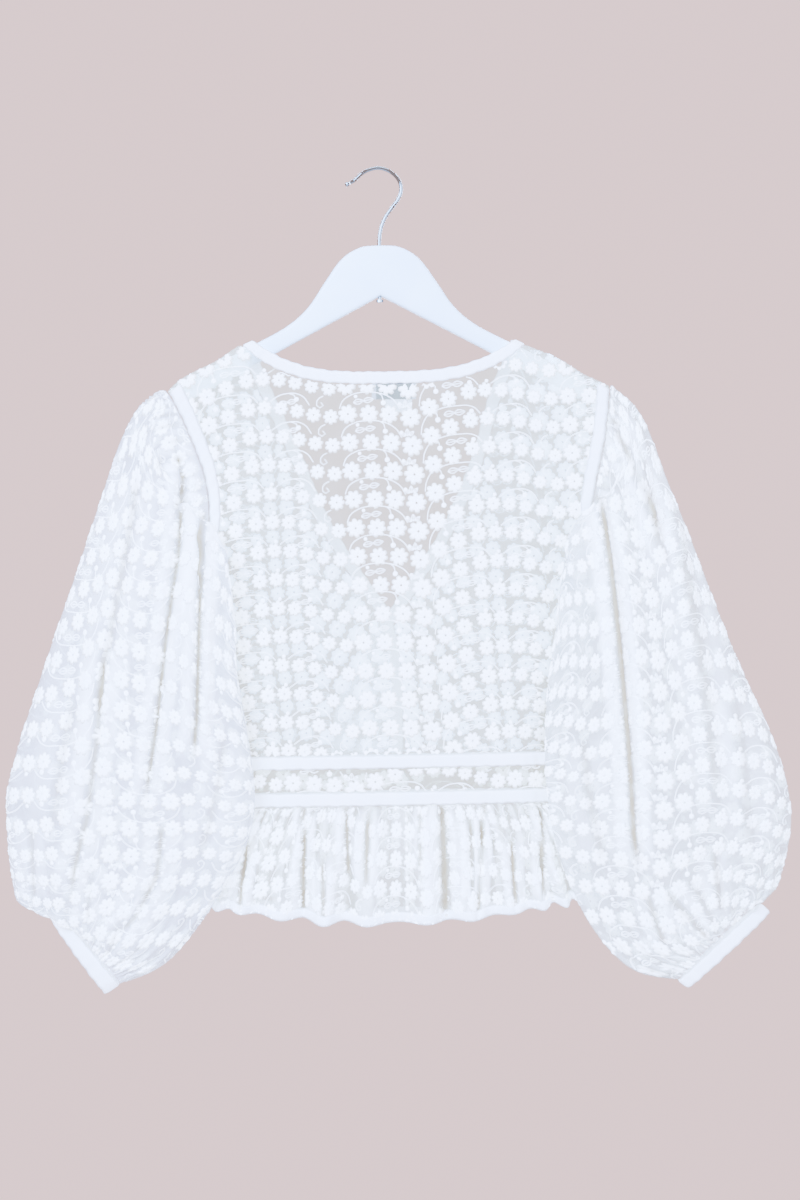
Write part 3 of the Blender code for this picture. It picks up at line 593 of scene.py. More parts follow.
def back_place(x, z, out=0.0, edge=PANEL_EDGE):
    return place(x, -body_depth(x, z, edge) - out, z + tilt_z(x, z))


def back_binding(u, v):
    x, z = neck_back_point(neck_share(2 * u - 1), BINDING_WIDTH * (1 - v))
    return back_place(x, z, out=BINDING_OUT, edge=BINDING_EDGE)


def front_edge_point(name, v, inset):
    side, edge_x = SIDES[name], front_edge_x[name]
    neck_end_z = seam_z(centre_x(NECK_BACK_Z) + side * NECK_HALF)
    z = mix(WAIST_TOP_Z, neck_end_z, v)
    run = edge_x(z + 1.0) - edge_x(z - 1.0)
    length = np.hypot(run, 2.0)
    square_x, square_z = 2.0 / length * side, -run / length * side
    seam_x, seam_down = seam_direction(side)
    turn = smooth((v - 0.93) / 0.07)
    square_x, square_z = mix(square_x, seam_x, turn), mix(square_z, seam_down, turn)
    level = smooth(v / 0.08)
    return edge_x(z) + inset * mix(side, square_x, level), z + inset * mix(0.0, square_z, level)


def front_outline(name, u, v):
    side = SIDES[name]
    inset = BINDING_WIDTH + SEAM_GAP
    neck_x, neck_z = front_edge_point(name, 1.0, inset)

    def top(at):
        x = mix(neck_x, side_point(1.0, side)[0], at)
        return x, mix(neck_z, seam_z(x), smooth(at / 0.1))

    def bottom(at):
        start = front_edge_point(name, 0.0, inset)[0]
        return mix(start, side_point(0.0, side)[0], at), WAIST_TOP_Z + 0 * at

    return coons(
        u, v, lambda t: front_edge_point(name, t, inset), lambda t: side_point(t, side), bottom, top
    )


def front_place(name, x, z, out=0.0, edge=PANEL_EDGE):
    depth = body_depth(x, z, edge) + out
    if name == "right":
        overlapped = smooth((front_edge_x["left"](z) + CROSS_BLEND - x) / CROSS_BLEND)
        depth = depth + CROSS_STEP * overlapped * smooth((-380 - z) / 50)
    return place(x, depth, z + tilt_z(x, z))


def body_ring(u, z, half, depth):
    turn = 2 * math.pi * u
    c, s = np.cos(turn), np.sin(turn)
    x = centre_x(z) - half * np.sign(c) * np.abs(c) ** 0.8
    y = -depth * np.sign(s) * np.abs(s) ** 1.1
    return place(x, y, z + tilt_z(x, z))


def band(z_top, width):
    def surface(u, v):
        z = z_top - SEAM_GAP - (width - SEAM_GAP) * (1 - v)
        return body_ring(u, z, WAIST_HALF, panel_depth(z))

    return surface


PEPLUM_TOP_Z = WAIST_TOP_Z - UPPER_TAPE - LACE_BAND - LOWER_TAPE - 2 * SEAM_GAP


def peplum_base(u, v):
    down = 1 - v
    hem_z = HEM_Z - HEM_SAG * np.sin(2 * math.pi * u) ** 4
    z = mix(PEPLUM_TOP_Z, hem_z, down)
    return body_ring(u, z, mix(WAIST_HALF, HEM_HALF, down**0.85), panel_depth(z))


def peplum_ripple(u, v):
    down = 1 - v
    turn = 2 * math.pi * u
    height = mix(PEPLUM_TOP_WAVE, PEPLUM_HEM_WAVE, down**0.8)
    wave = np.cos(PEPLUM_WAVES * turn + waves("peplum wander", turn))
    return height * (1 + waves("peplum uneven", turn)) * wave


def peplum_fine(u, v):
    """Height and painted tone of small gathers below the tape, which run out lower down."""
    down = 1 - v
    turn = 2 * math.pi * u
    reach = 0.5 + waves("peplum fine reach", turn)
    near_tape = smooth(down / 0.04) * smooth(1.4 * (1 - down / reach))
    wave = np.cos(PEPLUM_FINE_WAVES * turn + waves("peplum fine wander", turn))
    uneven = 0.75 + waves("peplum fine uneven", turn)
    return PEPLUM_FINE_WAVE * near_tape * wave, near_tape * uneven * gather_tone(wave)


def peplum_folds(u, v):
    """Height and painted tone of the deep folds, behind and again, mirrored and moved along, in front."""
    down = 1 - v
    x = peplum_base(u, v)[..., 0]
    behind = np.sin(2 * math.pi * u) > 0
    height, tone = 0.0, 0.0
    for x_top, x_hem, start, stop, depth, width in zip(*PEPLUM_FOLDS.values()):
        span = smooth((down - start) / 0.2 + 0.35) * smooth((stop - down) / 0.2 + 0.35)
        near, far = mix(x_top, x_hem, down), mix(IN_FRONT_TOP - x_top, IN_FRONT_HEM - x_hem, down)
        for facing, line_x in ((behind, near), (~behind, far)):
            raised, shaded = fold_across(np.abs(x - line_x) / width, FOLD_LOOKS["peplum"])
            height = height + facing * span * depth * raised
            tone = tone + facing * span * shaded
    return height, tone


def peplum_height(u, v):
    return peplum_ripple(u, v) + peplum_fine(u, v)[0] + peplum_folds(u, v)[0]


def peplum_tone(u, v):
    wave = peplum_ripple(u, v) / PEPLUM_HEM_WAVE
    # Painted shade in the big ripple's troughs, and paler doubled cloth on its crests
    own = 0.35 * smooth(-wave - 0.45) - 0.3 * smooth(wave)
    return peplum_fine(u, v)[1] + peplum_folds(u, v)[1] + own


def peplum(u, v):
    places = rippled(peplum_base, peplum_height)(u, v)
    dip = PEPLUM_HEM_DIP * peplum_ripple(u, v) * (1 - v)
    places[..., 2] = peplum_base(u, v)[..., 2] - dip
    return places


def rippled(surface, ripple, span=1e-4):
    """The surface, moved along its normal by the ripple's height."""

    def moved(u, v):
        low, high = np.maximum(v - span, 0.0), np.minimum(v + span, 1.0)
        along_u = surface(u + span, v) - surface(u - span, v)
        normal = unit(np.cross(along_u, surface(u, high) - surface(u, low)))
        return surface(u, v) + normal * ripple(u, v)[..., None]

    return moved


def section_point(section, turn, side):
    c, s = np.cos(turn), np.sin(turn)
    share = (1 - c) / 2
    chord_x = section["inner_x"] - section["outer_x"]
    chord_z = section["inner_z"] - section["outer_z"]
    length = np.hypot(chord_x, chord_z)
    bow = section["bow"] * np.maximum(s, 0) * smooth((share - 0.15) / 0.55)
    over_body = smooth((-17 - section["inner_y"]) / 8)
    far = section["far"] * (1 - 0.8 * over_body * smooth((share - 0.35) / 0.45))
    return place(
        section["outer_x"] + chord_x * share - side * np.abs(chord_z) / length * bow,
        mix(section["outer_y"], section["inner_y"], share) - s * np.where(s > 0, section["near"], far),
        section["outer_z"] + chord_z * share + np.abs(chord_x) / length * bow,
    )


def armhole_point(turn, side):
    share = (1 - np.cos(turn)) / 2
    z = mix(SHOULDER_TIP_Z, UNDERARM_Z, share)
    over_tape = NET_WALL / 2 + SEAM_GAP + TAPE_WALL + SEAM_GAP
    depth = armhole_depth(z) + over_tape * smooth(np.minimum(share, 1 - share) / 0.03)
    depth = np.where((share > 1e-9) & (share < 1 - 1e-9), depth, 0.0)
    x = centre_x(z) + side * (side_half(z) + SEAM_GAP + 1.4)
    return place(x, np.where(np.sin(turn) > 0, -depth, depth), z + tilt_z(x, z))


def sleeve_base(name):
    rows, side = SLEEVES[name], SIDES[name]
    columns = {key: [row[i] for row in rows] for i, key in enumerate(SLEEVE_COLUMNS)}
    columns["row"] = range(len(rows))
    readers = {key: table(columns, "row", key) for key in SLEEVE_COLUMNS}
    lead = 1.0 / len(rows)

    def surface(u, v):
        u, v = np.broadcast_arrays(u, v)
        down = 1 - v
        turn = 2 * math.pi * u
        row = np.maximum(down - lead, 0.0) / (1 - lead) * (len(rows) - 1)
        hung = section_point({key: read(row) for key, read in readers.items()}, turn, side)
        return mix(armhole_point(turn, side), hung, np.minimum(down / lead, 1.0)[..., None])

    return surface


def sleeve_ripple(u, v):
    """The gathers and long folds that the solid has."""
    down = 1 - v
    turn = 2 * math.pi * u
    head = SLEEVE_HEAD_WAVE * smooth(down / 0.05) * smooth((0.42 - down) / 0.36)
    cuff = SLEEVE_CUFF_WAVE * smooth((down - 0.72) / 0.2) * smooth((1.0 - down) / 0.05)
    fold = SLEEVE_FOLD * smooth(down / 0.2) * smooth((1 - down) / 0.3)
    folds = 0.5 * np.cos(5 * turn + 1.0) + 0.35 * np.cos(8 * turn + 2.4 + 1.5 * down)
    wave = np.cos(SLEEVE_GATHERS * turn + waves("sleeve wander", turn))
    return (head + cuff) * wave + fold * folds


def gather_tone(wave):
    """Painted shade in the narrow troughs of a wave, and doubled cloth between, painted paler."""
    return 0.5 * smooth((-wave - 0.35) / 0.5) - 0.45 * smooth((wave + 0.2) / 0.8)


def sleeve_fine(u, v):
    """Height and painted tone of smaller gathers near armhole and cuff, uneven in place and length."""
    down = 1 - v
    turn = 2 * math.pi * u
    reach = 0.15 + waves("sleeve fine reach", turn)
    head = smooth(down / 0.03) * smooth(1 - down / reach)
    cuff = smooth((1 - down) / 0.02) * smooth(1 - (1 - down) / (1.25 * reach))
    wave = np.cos(SLEEVE_FINE_GATHERS * turn + waves("sleeve fine wander", turn))
    return SLEEVE_FINE_WAVE * (head + cuff) * wave, (head + 0.6 * cuff) * gather_tone(wave)


def crease(x, z, line):
    """Height and tone of the cloth along one crease, gone at its ends.

    The tone is painted: up to 1 in the crease's shade and below 0 on its ridges, where the cloth is
    doubled and painted paler.
    """
    points = place(line["x"], line["z"]).astype(float)
    starts = lengths_along(points)
    lengths = np.diff(starts)
    nearest = np.full(x.shape, 1e9)
    share = np.zeros(x.shape)
    for (x0, z0), (x1, z1), start, length in zip(points[:-1], points[1:], starts, lengths):
        along = np.clip(((x - x0) * (x1 - x0) + (z - z0) * (z1 - z0)) / length**2, 0, 1)
        distance = np.hypot(x - mix(x0, x1, along), z - mix(z0, z1, along))
        closer = distance < nearest
        nearest = np.where(closer, distance, nearest)
        share = np.where(closer, (start + along * length) / starts[-1], share)
    ends = smooth(share / 0.12) * smooth((1 - share) / 0.14)
    raised, shaded = fold_across(nearest / line["width"], FOLD_LOOKS["sleeve"])
    return line["depth"] * ends * raised, ends * line["depth"] / FULL_DEPTH * shaded


def sleeve_creases(name, base):
    """Height and painted tone of creases on the near side, and of a fainter set on the far one."""
    aside = -FAR_CREASES["aside"] * SIDES[name]

    def both(u, v):
        points = base(u, v)
        x, z = points[..., 0], points[..., 2]
        near = smooth(np.sin(2 * math.pi * u) / 0.25)
        far = smooth(-np.sin(2 * math.pi * u) / 0.25)
        height, tone = 0.0, 0.0
        for row in CREASES[name]:
            line = dict(zip(CREASE_COLUMNS, row))
            close, away = crease(x, z, line), crease(x + aside, z, line)
            height = height + near * close[0] + FAR_CREASES["height"] * far * away[0]
            tone = tone + near * close[1] + FAR_CREASES["tone"] * far * away[1]
        return height, tone

    return both


def cuff_surface(name):
    last = dict(zip(SLEEVE_COLUMNS, SLEEVES[name][-1]))
    end = {**last, **CUFF_END[name], "near": CUFF_HALF_DEPTH, "far": CUFF_HALF_DEPTH}

    def ring_point(section, turn):
        points = section_point({**section, "near": 0.0, "far": 0.0}, turn, SIDES[name])
        s = np.sin(turn)
        points[..., 1] -= s * np.where(s > 0, section["near"], section["far"])
        return points

    def surface(u, v):
        u, v = np.broadcast_arrays(u, v)
        turn = 2 * math.pi * u
        start, stop = ring_point(last, turn), ring_point(end, turn)
        under_puff = CUFF_UNDER_PUFF * ((1 + np.cos(turn)) / 2) ** 2
        clear = (CUFF_CLEAR + under_puff) / np.linalg.norm(stop - start, axis=-1)
        return mix(start, stop, mix(clear, 1.0, 1 - v)[..., None])

    return surface


# Sheets and strips

class Sheet:
    """Cloth in rows and columns: its places, the flat place of each, and which way is outward."""

    def __init__(self, places, flat, closed=False, outward_y=None):
        self.places, self.flat, self.closed = places, flat, closed
        # Painted tone: shade up to 1 in folds, below 0 where doubled cloth is painted paler
        self.shade = np.zeros(places.shape[:2])
        if closed:
            around = np.roll(places, -1, axis=1) - np.roll(places, 1, axis=1)
        else:
            around = np.gradient(places, axis=1)
        normals = unit(np.cross(around, np.gradient(places, axis=0)) + 1e-12)
        if outward_y is None:
            away = places - places.mean(axis=1, keepdims=True)
            side = np.sign((normals * away).sum())
        else:
            side = np.sign(normals[..., 1].sum() * outward_y)
        self.normals, self.turned = normals * side, side < 0

    def flat_area(self):
        """The area of the flat cut in square metres."""
        one = self.flat[1:, 1:] - self.flat[:-1, :-1]
        other = self.flat[1:, :-1] - self.flat[:-1, 1:]
        crossed = one[..., 0] * other[..., 1] - one[..., 1] * other[..., 0]
        return float(np.abs(crossed).sum() / 2 * MM * MM)


def grid_faces(rows, columns, closed):
    """Corner numbers of each square face, and of each corner's place in the flat cut."""
    across = columns if closed else columns - 1
    r, c = (index.ravel() for index in np.mgrid[0 : rows - 1, 0:across])
    corners = ((r, c), (r, c + 1), (r + 1, c + 1), (r + 1, c))
    faces = np.stack([row * columns + column % columns for row, column in corners], axis=-1)
    flat_columns = columns + 1 if closed else columns
    flats = np.stack([row * flat_columns + column for row, column in corners], axis=-1)
    return faces, flats


def new_object(name, data, material=None):
    made = bpy.data.objects.new(name, data)
    bpy.context.scene.collection.objects.link(made)
    if material is not None:
        data.materials.append(material)
    return made


def as_shown(drawn):
    """The plain mesh that an object comes to, once the object itself is removed."""
    graph = bpy.context.evaluated_depsgraph_get()
    mesh = bpy.data.meshes.new_from_object(drawn.evaluated_get(graph))
    bpy.data.objects.remove(drawn)
    return mesh


def new_mesh(name, points, faces, flat=None, material=None, uv_name="flat"):
    """A smooth-shaded mesh from arrays in millimetres, with its flat cut as a UV map in metres."""
    mesh = bpy.data.meshes.new(name)
    mesh.from_pydata((np.asarray(points) * MM).tolist(), [], [list(map(int, face)) for face in faces])
    mesh.shade_smooth()
    if flat is not None:
        layer = mesh.uv_layers.new(name=uv_name)
        layer.uv.foreach_set("vector", (np.asarray(flat) * MM).astype(np.float32).ravel())
    mesh.update()
    return new_object(name, mesh, material)


def sheet_object(name, sheet, material):
    """The net itself: one layer, which knows its flat cut and its outward direction."""
    rows, columns = sheet.places.shape[:2]
    faces, flats = grid_faces(rows, columns, sheet.closed)
    if sheet.turned:
        faces, flats = faces[:, ::-1], flats[:, ::-1]
    flat = sheet.flat.reshape(-1, 2)[flats.ravel()]
    made = new_mesh(name, sheet.places.reshape(-1, 3), faces, flat, material)
    outward = made.data.attributes.new("outward", "FLOAT_VECTOR", "POINT")
    outward.data.foreach_set("vector", sheet.normals.reshape(-1).astype(np.float32))
    # The painted shade of each point, which net and thread colours read
    shade = made.data.attributes.new("shade", "FLOAT", "POINT")
    shade.data.foreach_set("value", sheet.shade.ravel().astype(np.float32))
    return made


def strip_object(name, sheet, wall, material):
    """A plain cotton strip with rounded edges: rows cross it, columns run along it."""
    rows, columns = sheet.places.shape[:2]
    share = np.linspace(-1, 1, rows)[:, None, None]
    half = wall / 2 * (1 - np.abs(share) ** 4) ** 0.5
    outer, inner = sheet.places + sheet.normals * half, sheet.places - sheet.normals * half
    points = np.concatenate((outer, inner[-2:0:-1])).transpose(1, 0, 2)
    middles = sheet.places[:, columns // 2], sheet.places[rows // 2]
    width, length = (lengths_along(line)[-1] for line in middles)
    across = np.concatenate((np.linspace(0, width, rows), np.linspace(width, 0, rows)[1:]))
    along = np.linspace(0, length, columns + sheet.closed)
    spread = place(along[:, None], across[None, :])
    faces, flats = grid_faces(len(along), points.shape[1], True)
    faces = faces % (columns * points.shape[1])
    made = new_mesh(name, points.reshape(-1, 3), faces, spread.reshape(-1, 2)[flats.ravel()], material)
    work = bmesh.new()
    work.from_mesh(made.data)
    if not sheet.closed:
        bmesh.ops.holes_fill(work, edges=work.edges)
    bmesh.ops.recalc_face_normals(work, faces=work.faces)
    work.to_mesh(made.data)
    work.free()
    return made


def even_round(surface, rows, columns, start=0.0, dense=900):
    """u at even lengths round each row of a closed surface, from start once round."""
    u = start + np.linspace(0, 1, dense + 1)
    ring = surface(u[None, :], rows[:, None])
    steps = np.linalg.norm(np.diff(ring, axis=1), axis=2)
    length = np.concatenate((np.zeros((len(rows), 1)), np.cumsum(steps, axis=1)), axis=1)
    shares = np.arange(columns) / columns
    return np.stack([np.interp(shares * row[-1], row, u) for row in length])


def gathered_sheet(base, surface, rows, columns, flat_width, start=0.0, tone=None):
    """A closed sheet whose flat cut is flat_width round, and as long as its middle is.

    A negative flat_width runs the other way round.
    """
    u = even_round(base, rows, columns, start)
    u, v = np.broadcast_arrays(u, rows[:, None])
    places = surface(u, v)
    base_rows = base(u, v)
    drop = np.linalg.norm(np.diff(base_rows, axis=0), axis=2).mean(axis=1)
    down = np.concatenate(([0.0], np.cumsum(drop[::-1])))[::-1]
    flat = place(np.linspace(0, flat_width, columns + 1)[None, :], -down[:, None])
    sheet = Sheet(places, flat, closed=True)
    if tone is not None:
        sheet.shade = np.clip(tone(u, v), -1.0, 1.0)
    return sheet


def uneven_rows(at, below, above):
    """Rows from 0 to 1, so many up to one place and so many from there on."""
    return np.concatenate((np.linspace(0, at, below)[:-1], np.linspace(at, 1, above)))


def soft_waves(x, z):
    """Slight unevenness of a hanging panel, with short gathers above the waist seam."""
    slow = np.sin(x / 31 + 0.7 * np.sin(z / 60)) * np.sin(z / 83 + 1.1) + 0.6 * np.sin(x / 17 + z / 140)
    waist = np.exp(-np.maximum(z - WAIST_TOP_Z, 0) / 26) * smooth((z - WAIST_TOP_Z) / 4)
    return PANEL_WAVE * slow + WAIST_GATHER * waist * np.sin(x / 3.1 + 1.3 * np.sin(x / 19))


def panel_sheet(outline, to_place, columns, facing):
    """A panel of the bodice, with the flat places taken straight from its outline."""
    u, v = np.meshgrid(np.linspace(0, 1, columns), uneven_rows(*PANEL_ROWS))
    x, z = outline(u, v)
    fade = smooth(u / 0.1) * smooth((1 - u) / 0.1) * smooth(v / 0.01) * smooth((1 - v) / 0.1)
    places = to_place(x, z)
    places[..., 1] += facing * soft_waves(x, z) * fade
    sheet = Sheet(places, place(-facing * x, z), outward_y=facing)
    # Painted shade that each sleeve throws on the body's side below its armhole
    reach = np.abs(x - centre_x(z)) / side_half(z)
    strength = mix(*SIDE_SHADE, x > centre_x(z))
    sheet.shade = strength * smooth((reach - 0.78) / 0.16) * smooth((-z - 440) / 60)
    return sheet


# Shader and node building

def pick(sockets, key):
    """The socket of that number, or the first enabled one of that name."""
    if isinstance(key, int):
        return sockets[key]
    return next(socket for socket in sockets if socket.name == key and socket.enabled)


class Value:
    """An output of a node. Python's operators on it add Math nodes."""

    def __init__(self, tree, socket):
        self.tree, self.socket = tree, socket

    def maths(self, operation, *inputs):
        return self.tree.node("ShaderNodeMath", {"operation": operation}, dict(enumerate(inputs)))

    def __add__(self, other):
        return self.maths("ADD", self, other)

    __radd__ = __add__

    def __sub__(self, other):
        return self.maths("SUBTRACT", self, other)

    def __rsub__(self, other):
        return self.maths("SUBTRACT", other, self)

    def __mul__(self, other):
        return self.maths("MULTIPLY", self, other)

    __rmul__ = __mul__

    def __abs__(self):
        return self.maths("ABSOLUTE", self)

    def wave(self, length):
        """From -1 to 1 and back once in each length."""
        return self.maths("SINE", self * (2 * math.pi / length))

    def between(self, low, high):
        """0 below low and 1 above high."""
        inputs = {"Value": self, "From Min": low, "From Max": high}
        return self.tree.node("ShaderNodeMapRange", {"interpolation_type": "SMOOTHSTEP"}, inputs)

    def highest(self, other):
        return self.maths("MAXIMUM", self, other)


class Tree:
    """A node tree with one way of adding any node."""

    def __init__(self, tree):
        self.nodes, self.links = tree.nodes, tree.links

    def node(self, kind, settings=None, inputs=None, output=0):
        made = self.nodes.new(kind)
        for name, value in (settings or {}).items():
            setattr(made, name, value)
        self.feed(made, inputs or {})
        return Value(self, pick(made.outputs, output))

    def feed(self, node, inputs):
        for key, value in inputs.items():
            socket = pick(node.inputs, key)
            if isinstance(value, Value):
                self.links.new(value.socket, socket)
            else:
                socket.default_value = value

    def split(self, vector):
        """The x, y and z of a vector."""
        parts = self.node("ShaderNodeSeparateXYZ", inputs={0: vector})
        return [Value(self, output) for output in parts.socket.node.outputs]

    def blend(self, share, first, second):
        """A colour between two, by share."""
        settings = {"data_type": "RGBA"}
        return self.node("ShaderNodeMix", settings, {"Factor": share, "A": first, "B": second}, "Result")

    def vector(self, operation, inputs):
        return self.node("ShaderNodeVectorMath", {"operation": operation}, inputs, "Vector")

    def noise(self, vector, scale, detail=3.0):
        inputs = {"Vector": vector, "Scale": scale, "Detail": detail}
        return self.node("ShaderNodeTexNoise", inputs=inputs)

    def flat(self, name="flat"):
        """The two directions of a piece's own cut, in metres."""
        return self.split(self.node("ShaderNodeUVMap", {"uv_map": name}))[:2]

    def folds(self, white):
        """The cloth's colour in painted shade and where it is doubled and painted paler, and how much of
        each there is.
        """
        tone = self.node("ShaderNodeAttribute", {"attribute_name": "shade"}, output="Fac")
        shaded, doubled = tone.highest(0.0), (0.0 - tone).highest(0.0)
        return self.blend(shaded, self.blend(doubled, white, DOUBLED_AND_LIT), SHADE), shaded, doubled

    def here(self):
        return self.node("ShaderNodeTexCoord", output="Object")


def finish(name, constants, draw):
    """A material whose fixed values go on the shader, and whose varying ones come from draw."""
    material = bpy.data.materials.new(name)
    material.use_nodes = True
    tree = Tree(material.node_tree)
    shader = material.node_tree.nodes["Principled BSDF"]
    tree.feed(shader, {**constants, **draw(tree)})
    return material


def bump(tree, height, strength, distance_mm):
    inputs = {"Height": height, "Strength": strength, "Distance": distance_mm * MM}
    return tree.node("ShaderNodeBump", inputs=inputs)


def net(name, dark, light, cover, glow):
    """Net ground of one tone: two families of slanting threads, with what is behind between.

    Glow, up to 1, stands for the light that comes through the cloth.
    """

    def draw(tree):
        x, y = tree.flat()
        pitch = NET_PITCH * MM
        uneven = (tree.noise(tree.here(), 260.0) - 0.5) * (NET_UNEVEN * MM)
        lean = abs((x + y * NET_SLANT + uneven).wave(pitch * 2))
        cross = abs((x - y * NET_SLANT + uneven).wave(pitch * 2))
        thread = lean.between(*THREAD_EDGE).highest(cross.between(*THREAD_EDGE))
        slow = tree.noise(tree.here(), 34.0).between(0.3, 0.7)
        # Painted shade and paler doubled cloth from the folds; the emission is a painted glow
        tone, shaded, doubled = tree.folds(tree.blend(slow, (*dark, 1), (*light, 1)))
        folded = shaded + doubled
        lit = tree.vector("SCALE", {"Vector": tone, "Scale": glow})
        return {
            "Base Color": tone,
            "Emission Color": tree.blend(doubled, lit, DOUBLED_AND_LIT),
            "Alpha": (cover - 0.2 + thread * 0.4) * (1.0 - folded) + folded * 0.88,
        }

    constants = {"Roughness": 0.9, "Sheen Weight": 0.1, "Emission Strength": THROUGH}
    return finish(name, constants, draw)


def satin_stitch(name, glow):
    """Fine ridges of thread, a little brighter where they catch light.

    Glow stands for the light that comes through the cloth behind.
    """

    def draw(tree):
        across, _ = tree.flat("thread")
        ridges = across.wave(1.0 * MM) * 0.5 + 0.5
        grain = tree.noise(tree.here(), 900.0)
        tint = tree.noise(tree.here(), 60.0).between(0.35, 0.65)
        # Painted shade in folds and paler doubled cloth, as on the net; the emission is a painted glow
        tone, _, _ = tree.folds(tree.blend(tint, *THREAD_COLOURS))
        return {
            "Base Color": tone,
            "Emission Color": tree.vector("MULTIPLY", {0: tone, 1: glow}),
            "Normal": bump(tree, ridges * 0.6 + grain * 0.6, 0.35, 0.4),
        }

    constants = {"Roughness": 0.62, "Sheen Weight": 0.2, "Emission Strength": THROUGH}
    return finish(name, constants, draw)


def draw_cotton(tree):
    """Plain woven tape: threads both ways, slubs and a faint change of tone."""
    x, y = tree.flat()
    weave = x.wave(WEAVE_PITCH * MM) * y.wave(WEAVE_PITCH * MM)
    slub = tree.noise(tree.here(), 420.0)
    tone = tree.noise(tree.here(), 45.0).between(0.3, 0.7)
    colour = tree.blend(tone, *COTTON_COLOURS)
    # The emission is painted light: the tape glows in its own colour
    return {
        "Base Color": colour,
        "Emission Color": colour,
        "Roughness": 0.78 + slub * 0.12,
        "Normal": bump(tree, weave * 0.4 + slub, 0.3, 0.35),
    }


def draw_label(tree):
    """A bare woven label: dark field, pale ends."""
    x, _, z = tree.split(tree.here())
    ends = abs(x - LABEL_X).between(*LABEL_ENDS)
    weave = x.wave(LABEL_WEAVE) * z.wave(LABEL_WEAVE)
    return {
        "Base Color": tree.blend(ends, *LABEL_COLOURS),
        "Normal": bump(tree, weave, 0.4, 0.3),
    }


def draw_paint(tree):
    """Painted wood: brush grain along the arms and a faint change of gloss.

    The arms' emission stands for the light that reaches them through the cloth.
    """
    x, y, z = tree.split(tree.here())
    stretched = tree.node("ShaderNodeCombineXYZ", inputs={0: x * 0.12, 1: y, 2: z})
    grain = tree.noise(stretched, 500.0, 5.0)
    patch = tree.noise(tree.here(), 22.0)
    covered = abs(x).between(*COVERED_FROM)
    return {
        "Base Color": tree.blend(patch.between(0.35, 0.65), *PAINT_COLOURS),
        "Emission Color": tree.blend(covered, *PAINT_LIGHT),
        "Roughness": 0.34 + patch * 0.18,
        "Normal": bump(tree, grain, 0.12, 0.25),
    }


def draw_chrome(tree):
    scuffs = tree.noise(tree.here(), 700.0, 4.0)
    return {
        "Roughness": 0.07 + scuffs.between(0.5, 0.8) * 0.16,
        "Normal": bump(tree, scuffs, 0.04, 0.1),
    }


def draw_floor(tree):
    patch = tree.noise(tree.here(), 3.0)
    return {"Base Color": tree.blend(patch, *FLOOR_COLOURS)}


NETS = {tone: net(**dict(zip(NET_COLUMNS, row))) for tone, row in NET_TONES.items()}
EMBROIDERY = satin_stitch("satin stitch", THREAD_GLOW["back"])
LIT_BEHIND = satin_stitch("satin stitch of the fronts", THREAD_GLOW["fronts"])
LIT_ROUND = satin_stitch("satin stitch of the gathered pieces", THREAD_GLOW["gathered"])
THREADS = dict.fromkeys(NETS, LIT_ROUND) | {"beige_shade": EMBROIDERY, "white": LIT_BEHIND}
# The cotton's emission strength makes a painted glow
COTTON = finish("cotton tape", {"Sheen Weight": 0.15, "Emission Strength": 1.0}, draw_cotton)
LABEL = finish("woven label", {"Roughness": 0.75}, draw_label)
PAINT = finish("painted wood", {"Coat Weight": 0.15, "Emission Strength": 4.0}, draw_paint)
CHROME = finish("chrome wire", {"Base Color": CHROME_COLOUR, "Metallic": 1.0}, draw_chrome)
FLOOR = finish("floor", {"Roughness": 0.9}, draw_floor)


# Motifs of the embroidery, flat, with z as relief

def daisy():
    """A daisy one unit across, stitched on both faces: padded petals round a small open eye."""
    corners = range(PETALS * len(PETAL["rim"]))
    points, spread = [], []
    for radius, lift, start, shaped in zip(*DAISY_RINGS.values()):
        for i in corners:
            at = i % len(PETAL["rim"])
            angle = 2 * math.pi * i / len(corners)
            reach = radius * (PETAL["rim"][at] if shaped else 1.0)
            height = start + lift * PETAL["relief"][at]
            points.append((reach * math.cos(angle), reach * math.sin(angle), height))
        spread += [(i * 1.7, radius * 18) for i in range(len(corners) + 1)]
    faces, flats = grid_faces(len(DAISY_RINGS["radius"]), len(corners), True)
    return points, faces, np.array(spread)[flats.ravel()]


def bud():
    """A bud one unit across, a low dome."""
    angles = [2 * math.pi * i / BUD_SIDES for i in range(BUD_SIDES)]
    points = [(r * math.cos(a), r * math.sin(a), height) for r, height in BUD_RINGS for a in angles]
    faces = [list(face) for face in grid_faces(len(BUD_RINGS), BUD_SIDES, True)[0]]
    faces.append(list(range(BUD_SIDES, 2 * BUD_SIDES)))
    spread = [(points[i][0] * 5, points[i][1] * 5) for face in faces for i in face]
    return points, faces, np.array(spread)


def curve_through(points):
    """Evenly spaced points on a smooth curve through the given ones."""
    points = np.array(points, float)
    line = {"at": range(len(points)), "x": points[:, 0], "z": points[:, 1]}
    at = np.linspace(0, len(points) - 1, 200)
    fine = place(table(line, "at", "x")(at), table(line, "at", "z")(at))
    length = lengths_along(fine)
    stops = np.linspace(0, length[-1], max(int(length[-1] / THREAD_STEP), 2) + 1)
    return place(*(np.interp(stops, length, column) for column in fine.T))


def thread(points, width=THREAD_WIDTH, height=THREAD_HEIGHT):
    """A raised thread along a flat line: its corners, faces and thread map."""
    along = np.gradient(points, axis=0)
    square = unit(place(-along[:, 1], along[:, 0]))
    length = lengths_along(points)
    corners, spread = [], []
    for share, lift in ((-0.5, 0.0), (0.0, height), (0.5, 0.0)):
        corners.append(place(*(points + square * share * width).T, lift))
        spread.append(place(length, share * width))
    faces, flats = grid_faces(3, len(points), False)
    return np.concatenate(corners), faces[:, ::-1], np.concatenate(spread)[flats[:, ::-1].ravel()]


